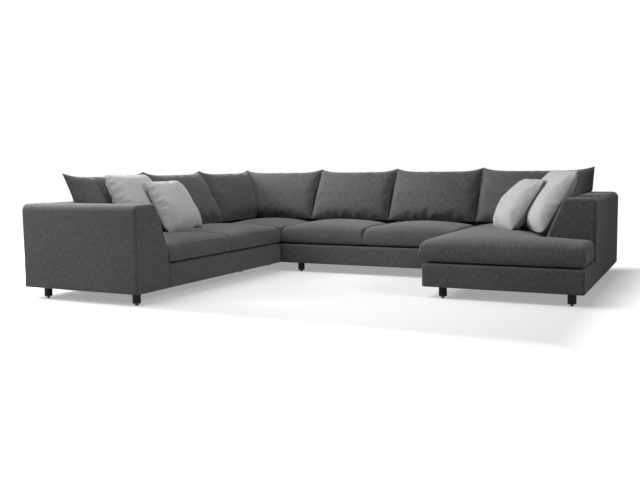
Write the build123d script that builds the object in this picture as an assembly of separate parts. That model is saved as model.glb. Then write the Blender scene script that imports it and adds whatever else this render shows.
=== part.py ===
import math
import os

from build123d import *

# A U-shaped sectional sofa in four modules: a left end with an arm, a corner, a
# centre and a right-hand chaise with an arm. All lengths are in millimetres.
# Plan axes while modelling: X runs along the rear row from the outer corner,
# Y runs from the front (negative) to the outer back face at zero, Z is up.

# Driving dimensions
module_depth = 980
seat_width = 775
arm_thickness = 340
chaise_seat_width = 705
chaise_length = 1850
chaise_arm_length = 1360
leg_height = 75
rail_top_height = 231
arm_height = 650
seat_edge_thickness = 150
seat_crown = 42

# Fits and clearances
module_gap = 0.6
soft_gap = 0.3
cut_overrun = 60
seam_lip = 10

# Padded casings over the timber
cover_wall = 18
deck_thickness = 8
slant_foot_height = 350
top_flat_width = 215
outer_top_radius = 45
inner_top_radius = 40

# Timber frame, webbing and the cloth below it
board_thickness = 25
board_bottom_height = 79
former_thickness = 20
former_pitch = 500
cross_rail_pitch = 520
webbing_width = 70
webbing_thickness = 2
webbing_pitch = 125
dust_cloth_thickness = 2
leg_block_side = 90
leg_block_thickness = 30

# Turned legs and their glides
leg_diameter = 54
leg_foot_diameter = 50
glide_diameter = 25
glide_height = 13
glide_disc_height = 6
glide_chamfer = 1.5
glide_stem_diameter = 10
glide_stem_engagement = 20
stud_diameter = 10
stud_length = 28
leg_outer_inset = 60
leg_front_inset = 48
leg_rear_inset = 155
leg_joint_inset = 170
leg_hidden_inset = 300
chaise_front_leg_inset = 48
chaise_left_leg_inset = 135
chaise_right_leg_inset = 81

# Steel hooks that hold the modules together
hook_plate_width = 46
hook_plate_thickness = 3
hook_fixed_length = 70
hook_crank_setback = 6
hook_reach = 36
hook_pin_reach = 24
hook_plate_drop = 14
hook_pin_diameter = 10
hook_pin_clearance = 2
eye_plate_drop = 9
eye_lip = 12
eye_fit = 0.5
hook_inset = 230

# Seat cushions
seat_side_draw = 9
core_border = 34
core_lift = 22
core_thickness = 105
chaise_overhang = 26
chaise_arm_gap = 44
centre_left_seat_width = 750
seat_station_share = (0.0, 0.06, 0.25, 0.55, 0.8, 0.93, 0.98, 1.0)
seat_crown_share = (0.85, 1.0, 1.0, 1.0, 0.9, 0.68, 0.48, 0.3)
seat_low_share = (0.0, 0.0, 0.0, 0.0, 0.0, 0.0, 0.05, 0.2)
seat_high_share = (0.95, 1.0, 1.0, 1.0, 1.0, 0.98, 0.9, 0.76)
seat_draw_share = (1.0, 0.7, 0.8, 1.0, 0.8, 0.7, 1.0, 1.6)
corner_station_share = (0.0, 0.1, 0.3, 0.5, 0.7, 0.9, 1.0)
corner_crown_share = (0.45, 0.85, 1.0, 1.0, 1.0, 0.85, 0.45)
chaise_narrow_share = (0.0, 0.3, 0.7, 1.0)
chaise_front_shares = (
    (0.0, 0.0, 1.0, 1.0, 1.0),
    (0.3, 0.0, 1.0, 1.0, 1.0),
    (0.7, 0.0, 1.0, 0.88, 1.0),
    (0.88, 0.0, 0.97, 0.66, 1.0),
    (0.97, 0.05, 0.88, 0.46, 1.4),
    (1.0, 0.2, 0.74, 0.3, 2.2),
)
chaise_step_run = 2

# Back cushions, along their width
back_cushion_height = 505
back_cushion_thickness = 195
back_cushion_lean = 28.5
back_foot_setback = 88
back_foot_sink = 12
corner_ear_inset = 150
ear_overhang = 105
chaise_ear_overhang = 172
back_station_share = (0.0, 0.02, 0.1, 0.28, 0.5, 0.72, 0.9, 0.98, 1.0)
back_height_share = (1.0, 1.0, 0.965, 0.93, 0.915, 0.93, 0.965, 1.0, 1.0)
back_fill_share = (0.1, 0.24, 0.6, 0.92, 1.0, 0.92, 0.6, 0.24, 0.1)

# Loose pillows: side, place of the middle, turn towards the viewer and lean
pillow_thickness = 160
pillow_sink = 14
large_pillow_side = 500
small_pillow_side = 440
pillow_station_share = (0.0, 0.04, 0.18, 0.5, 0.82, 0.96, 1.0)
pillow_height_share = (1.0, 0.99, 0.95, 0.93, 0.95, 0.99, 1.0)
pillow_fill_share = (0.1, 0.32, 0.74, 1.0, 0.74, 0.32, 0.1)
left_large_pillow_reach = 470
left_large_pillow_arm_inset = 340
left_small_pillow_reach = 625
left_small_pillow_arm_inset = 538
right_large_pillow_arm_inset = 30
right_large_pillow_setback = 286
right_small_pillow_arm_inset = 250
right_small_pillow_setback = 350
left_pillow_lean = 30
right_large_pillow_lean = 31
right_small_pillow_lean = 34
right_pillow_turn = 31
left_small_pillow_turn = 8
quarter_turn = 90

# Places worked out from the driving dimensions
centre_start = module_depth
chaise_start = module_depth + 2 * seat_width
chaise_arm_foot = chaise_start + chaise_seat_width
overall_width = chaise_arm_foot + arm_thickness
left_arm_foot = -module_depth - 2 * seat_width
overall_length = arm_thickness - left_arm_foot
left_seat_seam = -module_depth - seat_width
centre_seat_seam = centre_start + centre_left_seat_width
chaise_cushion_left = chaise_start - chaise_overhang
lean_run = arm_thickness - top_flat_width
slant_angle = math.degrees(math.atan2(lean_run, arm_height - slant_foot_height))
seat_top_height = rail_top_height + seat_edge_thickness + seat_crown
stand_height = seat_top_height + soft_gap
slant_setback = lean_run * (seat_top_height - slant_foot_height) / (arm_height - slant_foot_height)
board_top_height = rail_top_height - deck_thickness - 2 * webbing_thickness
dust_cloth_bottom = board_bottom_height - dust_cloth_thickness
butt_start = top_flat_width - inner_top_radius - seam_lip
back_foot_y = slant_setback - arm_thickness - back_foot_setback
left_large_pillow_middle = (left_large_pillow_reach, left_arm_foot + left_large_pillow_arm_inset)
left_small_pillow_middle = (left_small_pillow_reach, left_arm_foot + left_small_pillow_arm_inset)
right_large_pillow_middle = (
    chaise_arm_foot - right_large_pillow_arm_inset,
    right_large_pillow_setback - chaise_arm_length,
)
right_small_pillow_middle = (
    chaise_arm_foot - right_small_pillow_arm_inset,
    right_small_pillow_setback - chaise_arm_length,
)
half_gap = module_gap / 2
half_board = board_thickness / 2
half_soft_gap = soft_gap / 2
origin_shift = Vector(-overall_width / 2, overall_length / 2, 0)

parts = {}


def keep(name, shape):
    """Stores a node's solids, moved to the frame with the origin below the middle."""
    pieces = shape if isinstance(shape, list) else [shape]
    solids = [solid for piece in pieces for solid in piece.solids()]
    parts[name] = Compound([solid.moved(Location(origin_shift)) for solid in solids])


def box_between(low, high):
    """A box from its lowest to its highest corner."""
    size = [high[axis] - low[axis] for axis in range(3)]
    return Pos(*low) * Box(*size, align=(Align.MIN, Align.MIN, Align.MIN))


def arm_section(inset, bottom):
    """The section of an arm or back: upright outside, slanted inside, top edges rounded."""
    lean = math.radians(slant_angle)
    side_shift = inset / math.cos(lean)
    top_inner = top_flat_width - side_shift + inset * math.tan(lean)
    foot_inner = arm_thickness - inset
    foot_height = slant_foot_height - (side_shift - inset) / math.tan(lean)
    points = [
        (inset, bottom),
        (inset, arm_height - inset),
        (top_inner, arm_height - inset),
        (foot_inner, foot_height),
        (foot_inner, bottom),
    ]
    face = make_face(Polyline(*points, close=True))
    outer = [v for v in face.vertices() if v.Y > slant_foot_height and v.X < inset + seam_lip]
    face = fillet(outer, outer_top_radius - inset)
    inner = [v for v in face.vertices() if v.Y > slant_foot_height and v.X > top_inner - seam_lip]
    return fillet(inner, inner_top_radius - inset)


def back_prism(start, end, inset=0, bottom=leg_height):
    """A back along X with its outer face on the plane Y = 0."""
    face = arm_section(inset, bottom)
    plane = Plane(origin=(end, 0, 0), x_dir=(0, -1, 0), z_dir=(-1, 0, 0))
    return extrude(plane * face, amount=end - start)


def side_prism(near, far, inset=0, bottom=leg_height):
    """A back along Y with its outer face on the plane X = 0."""
    face = arm_section(inset, bottom)
    plane = Plane(origin=(0, far, 0), x_dir=(1, 0, 0), z_dir=(0, -1, 0))
    return extrude(plane * face, amount=far - near)


def left_arm_prism(inset=0, bottom=leg_height):
    """The left arm along X with its outer face at the near end of the left module."""
    prism = back_prism(inset, module_depth - inset, inset, bottom)
    return Pos(0, -overall_length, 0) * prism.mirror(Plane.XZ)


def chaise_arm_prism(inset=0, bottom=leg_height):
    """The chaise arm along Y with its outer face at the right-hand end."""
    prism = side_prism(-chaise_arm_length + inset, -inset, inset, bottom)
    return Pos(overall_width, 0, 0) * prism.mirror(Plane.YZ)


# Padded casings: each is a shell, open below, over the timber


def without_lining(shell, low, high):
    """Opens a casing's inner side below the seat deck, where the timber runs through."""
    return shell - box_between((*low, 0), (*high, rail_top_height))


def make_left_covers():
    arm = left_arm_prism() - left_arm_prism(cover_wall, 0)
    arm_low = (cover_wall, -overall_length + cover_wall)
    arm_high = (module_depth - cover_wall, left_arm_foot + cut_overrun)
    keep("left_arm_cover", without_lining(arm, arm_low, arm_high))

    far = -module_depth - half_gap
    near = -overall_length + butt_start
    back = side_prism(near, far) - side_prism(near - cut_overrun, far - cover_wall, cover_wall, 0)
    back = without_lining(back, (cover_wall, near), (arm_thickness + cut_overrun, far - cover_wall))
    keep("left_back_cover", back - left_arm_prism())

    outer = box_between((arm_thickness, left_arm_foot, leg_height), (module_depth, far, rail_top_height))
    outer = fillet(outer.edges().filter_by(Axis.Y).group_by(Axis.X)[-1].group_by(Axis.Z)[-1], seam_lip)
    inner = box_between(
        (arm_thickness - cut_overrun, left_arm_foot - cut_overrun, 0),
        (module_depth - cover_wall, far - cover_wall, rail_top_height - deck_thickness),
    )
    keep("left_base_cover", outer - inner)


def make_corner_covers():
    right = module_depth - half_gap
    near = -module_depth + half_gap
    rear = back_prism(0, right) - back_prism(cover_wall, right - cover_wall, cover_wall, 0)
    rear_low = (cover_wall, -arm_thickness - cut_overrun)
    rear = without_lining(rear, rear_low, (right - cover_wall, -cover_wall))
    keep("corner_rear_back_cover", rear)

    far = -butt_start
    side = side_prism(near, far) - side_prism(near + cover_wall, far + cut_overrun, cover_wall, 0)
    side = without_lining(side, (cover_wall, near + cover_wall), (arm_thickness + cut_overrun, far))
    keep("corner_side_back_cover", side - back_prism(-cut_overrun, module_depth))

    outer = box_between((arm_thickness, near, leg_height), (right, -arm_thickness, rail_top_height))
    inner = box_between(
        (arm_thickness - cut_overrun, near + cover_wall, 0),
        (right - cover_wall, -arm_thickness + cut_overrun, rail_top_height - deck_thickness),
    )
    keep("corner_base_cover", outer - inner)


def make_centre_covers():
    left = centre_start + half_gap
    right = chaise_start - half_gap
    back = back_prism(left, right) - back_prism(left + cover_wall, right - cover_wall, cover_wall, 0)
    back_low = (left + cover_wall, -arm_thickness - cut_overrun)
    back = without_lining(back, back_low, (right - cover_wall, -cover_wall))
    keep("centre_back_cover", back)

    outer = box_between((left, -module_depth, leg_height), (right, -arm_thickness, rail_top_height))
    outer = fillet(outer.edges().filter_by(Axis.X).group_by(Axis.Y)[0].group_by(Axis.Z)[-1], seam_lip)
    inner = box_between(
        (left + cover_wall, -module_depth + cover_wall, 0),
        (right - cover_wall, -arm_thickness + cut_overrun, rail_top_height - deck_thickness),
    )
    keep("centre_base_cover", outer - inner)


def make_chaise_covers():
    left = chaise_start + half_gap
    arm = chaise_arm_prism() - chaise_arm_prism(cover_wall, 0)
    arm_low = (chaise_arm_foot - cut_overrun, -chaise_arm_length - cut_overrun)
    keep("chaise_arm_cover", without_lining(arm, arm_low, (overall_width - cover_wall, -cover_wall)))

    right = overall_width - butt_start
    back = back_prism(left, right) - back_prism(left + cover_wall, right + cut_overrun, cover_wall, 0)
    back = without_lining(back, (left + cover_wall, -arm_thickness - cut_overrun), (right, -cover_wall))
    keep("chaise_back_cover", back - chaise_arm_prism())

    corners = [
        (left, -chaise_length),
        (overall_width, -chaise_length),
        (overall_width, -chaise_arm_length),
        (chaise_arm_foot, -chaise_arm_length),
        (chaise_arm_foot, -arm_thickness),
        (left, -arm_thickness),
    ]
    plan = make_face(Polyline(*corners, close=True))
    front = [v for v in plan.vertices() if v.Y < -chaise_length + seam_lip]
    plan = fillet(front, cover_wall)
    outer = extrude(Pos(0, 0, leg_height) * plan, amount=rail_top_height - leg_height)
    deck_bottom = rail_top_height - deck_thickness
    seat_space = box_between(
        (left + cover_wall, -chaise_length + cover_wall, 0),
        (chaise_arm_foot, -arm_thickness + cut_overrun, deck_bottom),
    )
    front_space = box_between(
        (left + cover_wall, -chaise_length + cover_wall, 0),
        (overall_width - cover_wall, -chaise_arm_length, deck_bottom),
    )
    arm_side = box_between(
        (chaise_arm_foot - cover_wall, -chaise_arm_length - cover_wall, 0),
        (chaise_arm_foot + cut_overrun, -chaise_arm_length + cut_overrun, deck_bottom),
    )
    keep("chaise_base_cover", outer - seat_space - front_space - arm_side)


# Timber frames: three long boards, cross boards between them, and upright formers


def boards_between(lines_x, lines_y, long_axis):
    """Long boards at each line of one axis, cross boards butted between them."""
    boards = []
    if long_axis == "x":
        left, right = lines_x[0], lines_x[-1] + board_thickness
        for y in lines_y:
            boards.append(((left, y), (right, y + board_thickness)))
        for x in lines_x:
            for near, far in zip(lines_y, lines_y[1:]):
                boards.append(((x, near + board_thickness), (x + board_thickness, far)))
    else:
        near, far = lines_y[0], lines_y[-1] + board_thickness
        for x in lines_x:
            boards.append(((x, near), (x + board_thickness, far)))
        for y in lines_y:
            for left, right in zip(lines_x, lines_x[1:]):
                boards.append(((left + board_thickness, y), (right, y + board_thickness)))
    return [
        box_between((*low, board_bottom_height), (*high, board_top_height)) for low, high in boards
    ]


def spaced(start, end, pitch):
    """Evenly spaced places from start to end, no further apart than the pitch."""
    count = max(1, math.ceil((end - start) / pitch))
    return [start + (end - start) * step / count for step in range(count + 1)]


def back_formers(start, end):
    """Upright boards across a back along X."""
    places = spaced(start, end - former_thickness, former_pitch)
    return [back_prism(x, x + former_thickness, cover_wall, board_top_height) for x in places]


def side_formers(near, far):
    """Upright boards across a back along Y."""
    places = spaced(near, far - former_thickness, former_pitch)
    return [side_prism(y, y + former_thickness, cover_wall, board_top_height) for y in places]


def leg_block(place, low, high):
    """A hardwood block over a leg, kept inside the casing."""
    half = leg_block_side / 2
    x, y = place
    block_low = (max(x - half, low[0]), max(y - half, low[1]), board_bottom_height)
    top = board_bottom_height + leg_block_thickness
    block_high = (min(x + half, high[0]), min(y + half, high[1]), top)
    return box_between(block_low, block_high)


def keep_frame(name, boards, formers, legs, low, high):
    """Stores a frame: boards, formers and leg blocks, drilled for the leg studs."""
    blocks = []
    for place in legs:
        block = leg_block(place, low, high)
        for board in boards:
            block = block - board
        blocks.append(block)
    studs = [leg_stud(place) for place in legs]
    drilled = []
    for piece in boards + blocks:
        for stud in studs:
            piece = piece - stud
        drilled.append(piece)
    keep(name, drilled + formers)


def keep_webbing(name, low, high):
    """Stores elastic straps: one layer along Y, and one along X resting on it."""
    bottom = board_top_height
    middle = bottom + webbing_thickness
    top = middle + webbing_thickness
    half = webbing_width / 2
    straps = []
    for x in spaced(low[0] + webbing_width, high[0] - webbing_width, webbing_pitch):
        straps.append(box_between((x - half, low[1], bottom), (x + half, high[1], middle)))
    for y in spaced(low[1] + webbing_width, high[1] - webbing_width, webbing_pitch):
        straps.append(box_between((low[0], y - half, middle), (high[0], y + half, top)))
    keep(name, straps)


def keep_dust_cloth(name, low, high, legs):
    """Stores the cloth stapled under the boards, cut round each leg."""
    cloth = box_between((*low, dust_cloth_bottom), (*high, board_bottom_height))
    for place in legs:
        cloth = cloth - Pos(*place, board_bottom_height) * Cylinder(leg_diameter / 2, leg_height)
    keep(name, cloth)


# Legs and glides


def leg_stud(place):
    """The steel stud that holds a leg in the frame."""
    foot = Pos(*place, board_bottom_height)
    size = Cylinder(stud_diameter / 2, stud_length, align=(Align.CENTER, Align.CENTER, Align.MIN))
    return foot * size


def turned_leg(place):
    """A turned leg with eased edges and a bore for the glide's stem."""
    radius = leg_diameter / 2
    foot_radius = leg_foot_diameter / 2
    ease = radius - foot_radius
    outline = Polyline(
        (0, glide_height),
        (foot_radius, glide_height),
        (radius, glide_height + ease),
        (radius, board_bottom_height),
        (stud_diameter / 2, board_bottom_height),
        (stud_diameter / 2, board_bottom_height + stud_length),
        (0, board_bottom_height + stud_length),
        close=True,
    )
    leg = revolve(Plane.XZ * make_face(outline), Axis.Z)
    bore = Pos(0, 0, glide_height) * Cylinder(glide_stem_diameter / 2, 2 * glide_stem_engagement)
    return Pos(*place, 0) * (leg - bore)


def levelling_glide(place):
    """A round glide on a threaded stem."""
    foot = (Align.CENTER, Align.CENTER, Align.MIN)
    disc = Cylinder(glide_diameter / 2, glide_disc_height, align=foot)
    disc = chamfer(disc.edges().group_by(Axis.Z)[0], glide_chamfer)
    stem_length = glide_height - glide_disc_height + glide_stem_engagement
    stem = Pos(0, 0, glide_disc_height) * Cylinder(glide_stem_diameter / 2, stem_length, align=foot)
    return Pos(*place, 0) * (disc + stem)


# Steel hooks under the joints between the modules


def hook_arm(place, turn):
    """A cranked plate with an upright pin, reaching over to the next module."""
    half = hook_plate_width / 2
    top = leg_height
    low = top - hook_plate_drop
    thick = hook_plate_thickness
    fixed = box_between((-hook_fixed_length, -half, top - thick), (-hook_crank_setback, half, top))
    web = box_between((-hook_crank_setback - thick, -half, low), (-hook_crank_setback, half, top))
    reach = box_between((-hook_crank_setback - thick, -half, low), (hook_reach, half, low + thick))
    pin_foot = Pos(hook_pin_reach, 0, low)
    pin = pin_foot * Cylinder(
        hook_pin_diameter / 2,
        hook_plate_drop - hook_pin_clearance,
        align=(Align.CENTER, Align.CENTER, Align.MIN),
    )
    return Pos(*place, 0) * Rot(0, 0, turn) * (fixed + web + reach + pin)


def hook_eye(place, turn):
    """A cranked plate whose eye drops over the pin."""
    half = hook_plate_width / 2
    top = leg_height
    low = top - eye_plate_drop
    thick = hook_plate_thickness
    crank = hook_reach + hook_crank_setback
    fixed = box_between((crank, -half, top - thick), (crank + hook_fixed_length, half, top))
    web = box_between((crank, -half, low), (crank + thick, half, top))
    reach = box_between((hook_pin_reach - eye_lip, -half, low), (crank + thick, half, low + thick))
    hole = Pos(hook_pin_reach, 0, top) * Cylinder(hook_pin_diameter / 2 + eye_fit, 2 * leg_height)
    return Pos(*place, 0) * Rot(0, 0, turn) * (fixed + web + reach - hole)


# Seat cushions: a foam core in a quilted cover, crowned, with drawn-in sides


def seat_section(y, left, right, low, high, crown, draw):
    """One upright section of a seat cushion: flat below, drawn-in sides, arched top."""
    left_foot = (left + draw, low)
    right_foot = (right - draw, low)
    left_seam = (left + draw, high)
    right_seam = (right - draw, high)
    middle = (left + right) / 2
    side_height = (low + high) / 2
    edges = [
        Line(left_foot, right_foot),
        ThreePointArc(right_foot, (right, side_height), right_seam),
        ThreePointArc(right_seam, (middle, high + crown), left_seam),
        ThreePointArc(left_seam, (left, side_height), left_foot),
    ]
    plane = Plane(origin=(0, y, 0), x_dir=(1, 0, 0), z_dir=(0, -1, 0))
    return plane * make_face(Curve() + edges)


def seat_cushion(left, right, rear, front):
    """A seat cushion whose front faces the negative Y side."""
    sections = []
    shares = zip(seat_station_share, seat_low_share, seat_high_share, seat_crown_share, seat_draw_share)
    for station, low_share, high_share, crown_share, draw_share in shares:
        y = rear + (front - rear) * station
        low = rail_top_height + seat_edge_thickness * low_share
        high = rail_top_height + seat_edge_thickness * high_share
        crown = seat_top_height - high if crown_share == 1 else seat_crown * crown_share
        sections.append(seat_section(y, left, right, low, high, crown, seat_side_draw * draw_share))
    return loft(sections, ruled=True)


def seat_core(left, right, rear, front):
    """The foam block inside a seat cushion."""
    low = (left + core_border, front + core_border, rail_top_height + core_lift)
    high = (right - core_border, rear - core_border, rail_top_height + core_lift + core_thickness)
    return box_between(low, high)


def keep_seat(name, cushion, core):
    """Stores a seat cushion as a hollow cover and the core that fills it."""
    keep(name + "_cover", cushion - core)
    keep(name + "_core", core)


def turned_to_left_run(shape):
    """Turns a shape made for the rear row so that its front faces positive X."""
    return shape.rotate(Axis.Z, quarter_turn)


def make_seat_cushions():
    rear = -arm_thickness - soft_gap
    front = -module_depth
    left_places = (left_arm_foot + soft_gap, left_seat_seam, -module_depth)
    for number, (near, far) in enumerate(zip(left_places, left_places[1:]), start=1):
        span = (near + half_soft_gap, far - half_soft_gap, rear, front)
        cushion = turned_to_left_run(seat_cushion(*span))
        keep_seat(f"left_seat_{number}", cushion, turned_to_left_run(seat_core(*span)))

    corner_span = (arm_thickness + soft_gap, module_depth - half_soft_gap, rear, front + half_soft_gap)
    keep_seat("corner_seat", corner_cushion(*corner_span), seat_core(*corner_span))

    centre_places = (centre_start, centre_seat_seam, chaise_cushion_left)
    for number, (left, right) in enumerate(zip(centre_places, centre_places[1:]), start=1):
        span = (left + half_soft_gap, right - half_soft_gap, rear, front)
        keep_seat(f"centre_seat_{number}", seat_cushion(*span), seat_core(*span))

    make_chaise_cushion(rear)


def corner_cushion(left, right, rear, front):
    """The square corner cushion, crowned alike on all four sides."""
    sections = []
    for station, crown_share in zip(corner_station_share, corner_crown_share):
        y = rear + (front - rear) * station
        high = rail_top_height + seat_edge_thickness
        crown = seat_crown * crown_share
        sections.append(seat_section(y, left, right, rail_top_height, high, crown, seat_side_draw))
    return loft(sections, ruled=True)


def make_chaise_cushion(rear):
    """The long cushion: narrow beside the arm, full width in front of it."""
    left = chaise_cushion_left + half_soft_gap
    narrow_right = chaise_arm_foot - soft_gap
    step = -chaise_arm_length - chaise_arm_gap
    front = -chaise_length
    sections = []
    for station, low_share, high_share, crown_share, draw_share in chaise_front_shares:
        y = step + (front - step) * station
        low = rail_top_height + seat_edge_thickness * low_share
        high = rail_top_height + seat_edge_thickness * high_share
        draw = seat_side_draw * draw_share
        crown = seat_top_height - high if crown_share == 1 else seat_crown * crown_share
        sections.append(seat_section(y, left, overall_width, low, high, crown, draw))
    high = rail_top_height + seat_edge_thickness
    narrow = []
    for station in chaise_narrow_share:
        y = rear + (step + chaise_step_run - rear) * station
        narrow.append(seat_section(y, left, narrow_right, rail_top_height, high, seat_crown, seat_side_draw))
    cushion = loft(narrow + sections, ruled=True)
    core_low = rail_top_height + core_lift
    core_high = core_low + core_thickness
    long_core = box_between(
        (left + core_border, front + core_border, core_low),
        (narrow_right - core_border, rear - core_border, core_high),
    )
    wide_core = box_between(
        (left + core_border, front + core_border, core_low),
        (overall_width - core_border, step - core_border, core_high),
    )
    keep_seat("chaise_seat", cushion, long_core + wide_core)


# Back cushions: feather-filled, with tall pointed ends, leaning on the padded back


def lens_section(offset, height, bulge):
    """A section across a filled cushion: two arcs meeting at the seam below and above."""
    foot = (0, 0)
    top = (0, height)
    middle = height / 2
    arcs = [
        ThreePointArc(foot, (bulge, middle), top),
        ThreePointArc(top, (-bulge, middle), foot),
    ]
    plane = Plane(origin=(offset, 0, 0), x_dir=(0, -1, 0), z_dir=(-1, 0, 0))
    return plane * make_face(Curve() + arcs)


def filled_cushion(width, height, thickness, stations, heights, fills):
    """A lens-shaped cushion standing on the X axis, its seams drawn in between the corners."""
    sections = []
    for station, height_share, fill in zip(stations, heights, fills):
        bulge = thickness / 2 * fill
        offset = width * (station - 1 / 2)
        sections.append(lens_section(offset, height * height_share, bulge))
    return loft(sections, ruled=True)


def back_cushion(left, right):
    """A back cushion of the rear row between two upright planes."""
    soft = filled_cushion(
        right - left,
        back_cushion_height,
        back_cushion_thickness,
        back_station_share,
        back_height_share,
        back_fill_share,
    )
    soft = soft.rotate(Axis.X, -back_cushion_lean)
    soft = Pos((left + right) / 2, back_foot_y, seat_top_height - back_foot_sink) * soft
    below = box_between(
        (left - cut_overrun, -2 * module_depth, 0), (right + cut_overrun, module_depth, stand_height)
    )
    return soft - below - back_prism(left - cut_overrun, right + cut_overrun, -soft_gap, 0)


def corner_side(shape, towards_left_run):
    """Cuts a corner cushion on the diagonal between the two backs."""
    half = math.sqrt(2) * module_depth
    block = Box(2 * half, 2 * half, 2 * arm_height + module_depth)
    shift = half - half_soft_gap
    diagonal = quarter_turn / 2
    reach = shift * math.cos(math.radians(diagonal))
    side = 1 if towards_left_run else -1
    return shape - Pos(side * reach, side * reach, 0) * Rot(0, 0, diagonal) * block


def make_back_cushions():
    left_arm = grown_left_arm()
    left_places = (left_arm_foot - ear_overhang, left_seat_seam, -module_depth)
    for number, (near, far) in enumerate(zip(left_places, left_places[1:]), start=1):
        cushion = turned_to_left_run(back_cushion(near + half_soft_gap, far - half_soft_gap))
        keep(f"left_back_cushion_{number}", cushion - left_arm if number == 1 else cushion)

    side = turned_to_left_run(back_cushion(-module_depth + half_soft_gap, -corner_ear_inset))
    rear = back_cushion(corner_ear_inset, module_depth - half_soft_gap)
    side = corner_side(side, True) - back_prism(-cut_overrun, module_depth, -soft_gap, 0)
    rear = corner_side(rear, False) - side_prism(-module_depth, cut_overrun, -soft_gap, 0)
    keep("corner_side_back_cushion", side)
    keep("corner_rear_back_cushion", rear)

    centre_places = (centre_start, centre_seat_seam, chaise_cushion_left)
    for number, (left, right) in enumerate(zip(centre_places, centre_places[1:]), start=1):
        keep(f"centre_back_cushion_{number}", back_cushion(left + half_soft_gap, right - half_soft_gap))

    chaise_right = chaise_arm_foot + chaise_ear_overhang
    cushion = back_cushion(chaise_cushion_left + half_soft_gap, chaise_right)
    keep("chaise_back_cushion", cushion - grown_chaise_arm())


def grown_left_arm():
    """The space of the left arm, with its inner side moved out by the soft gap."""
    return left_arm_prism(-soft_gap, 0)


def grown_chaise_arm():
    """The space of the chaise arm, with its inner side moved out by the soft gap."""
    return chaise_arm_prism(-soft_gap, 0)


# Loose pillows


def pillow_foot(side, middle, turn, lean):
    """Where the lower seam of a leaning pillow stands, for its middle to be over a place in plan."""
    run = side / 2 * math.sin(math.radians(lean))
    angle = math.radians(turn)
    x = middle[0] + run * math.sin(angle)
    y = middle[1] - run * math.cos(angle)
    return x, y, seat_top_height - pillow_sink


def pillow(side, middle, turn, lean):
    """A square pillow leaning back."""
    soft = filled_cushion(
        side, side, pillow_thickness, pillow_station_share, pillow_height_share, pillow_fill_share
    )
    leaning = soft.rotate(Axis.X, -lean).rotate(Axis.Z, turn)
    soft = Pos(*pillow_foot(side, middle, turn, lean)) * leaning
    reach = overall_width + overall_length
    return soft - box_between((-reach, -reach, 0), (reach, reach, stand_height))


def lens_guard(width, height, thickness, lean):
    """The space that a leaning cushion and the room below its front take up."""
    bulge = thickness / 2 + soft_gap
    block = extrude(lens_section(width / 2, height, bulge), amount=width)
    angle = math.radians(lean)
    radius = (bulge**2 + (height / 2) ** 2) / (2 * bulge)
    set_back = radius - bulge
    widest_height = height / 2 * math.cos(angle) - set_back * math.sin(angle)
    widest_reach = radius - set_back * math.cos(angle) - height / 2 * math.sin(angle)
    room = box_between((-width / 2, -widest_reach, -seat_top_height), (width / 2, 0, widest_height))
    return block.rotate(Axis.X, -lean) + room


def pillow_guard(side, middle, turn, lean):
    """The guard of a placed pillow, which the pillow in front of it is cut by."""
    guard = lens_guard(side, side * min(pillow_height_share), pillow_thickness, lean)
    return Pos(*pillow_foot(side, middle, turn, lean)) * guard.rotate(Axis.Z, turn)


def back_guard(left, right):
    """The guard of a back cushion of the rear row."""
    height = back_cushion_height * min(back_height_share)
    guard = lens_guard(right - left, height, back_cushion_thickness, back_cushion_lean)
    return Pos((left + right) / 2, back_foot_y, seat_top_height - back_foot_sink) * guard


def make_pillows():
    left_large = (large_pillow_side, left_large_pillow_middle, quarter_turn, left_pillow_lean)
    left_small_turn = quarter_turn - left_small_pillow_turn
    left_small = (small_pillow_side, left_small_pillow_middle, left_small_turn, left_pillow_lean)
    right_turn = right_pillow_turn - quarter_turn
    right_large = (large_pillow_side, right_large_pillow_middle, right_turn, right_large_pillow_lean)
    right_small = (small_pillow_side, right_small_pillow_middle, right_turn, right_small_pillow_lean)

    behind_left = turned_to_left_run(back_guard(left_arm_foot - ear_overhang, left_seat_seam))
    keep("left_large_pillow", pillow(*left_large) - behind_left)
    keep("left_small_pillow", pillow(*left_small) - pillow_guard(*left_large))
    keep("right_large_pillow", pillow(*right_large) - grown_chaise_arm())
    keep("right_small_pillow", pillow(*right_small) - pillow_guard(*right_large))


# Assembly of the four modules


def keep_legs(name, places):
    """Stores a module's legs and their glides."""
    keep(name + "_legs", [turned_leg(place) for place in places])
    keep(name + "_glides", [levelling_glide(place) for place in places])


def make_left_module():
    left, right = cover_wall, module_depth - cover_wall
    near = -overall_length + cover_wall
    far = -module_depth - half_gap - cover_wall
    legs = [
        (leg_rear_inset, -overall_length + leg_outer_inset),
        (module_depth - leg_front_inset, -overall_length + leg_front_inset),
        (leg_rear_inset, -module_depth - leg_joint_inset),
        (module_depth - leg_hidden_inset, -module_depth - leg_joint_inset),
    ]
    seat_line = left_arm_foot - board_thickness
    lines_x = [left, arm_thickness - board_thickness, right - board_thickness]
    lines_y = [near] + spaced(seat_line, far - board_thickness, cross_rail_pitch)
    boards = boards_between(lines_x, lines_y, "y")
    arm_run = back_formers(cover_wall, module_depth - cover_wall)
    arm_formers = [Pos(0, -overall_length, 0) * former.mirror(Plane.XZ) for former in arm_run]
    formers = arm_formers + side_formers(left_arm_foot, far)
    keep_frame("left_frame", boards, formers, legs, (left, near), (right, far))
    keep_webbing("left_webbing", (lines_x[1] + half_board, seat_line + half_board), (right, far))
    keep_dust_cloth("left_dust_cloth", (left, near), (right, far), legs)
    keep_legs("left", legs)


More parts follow.
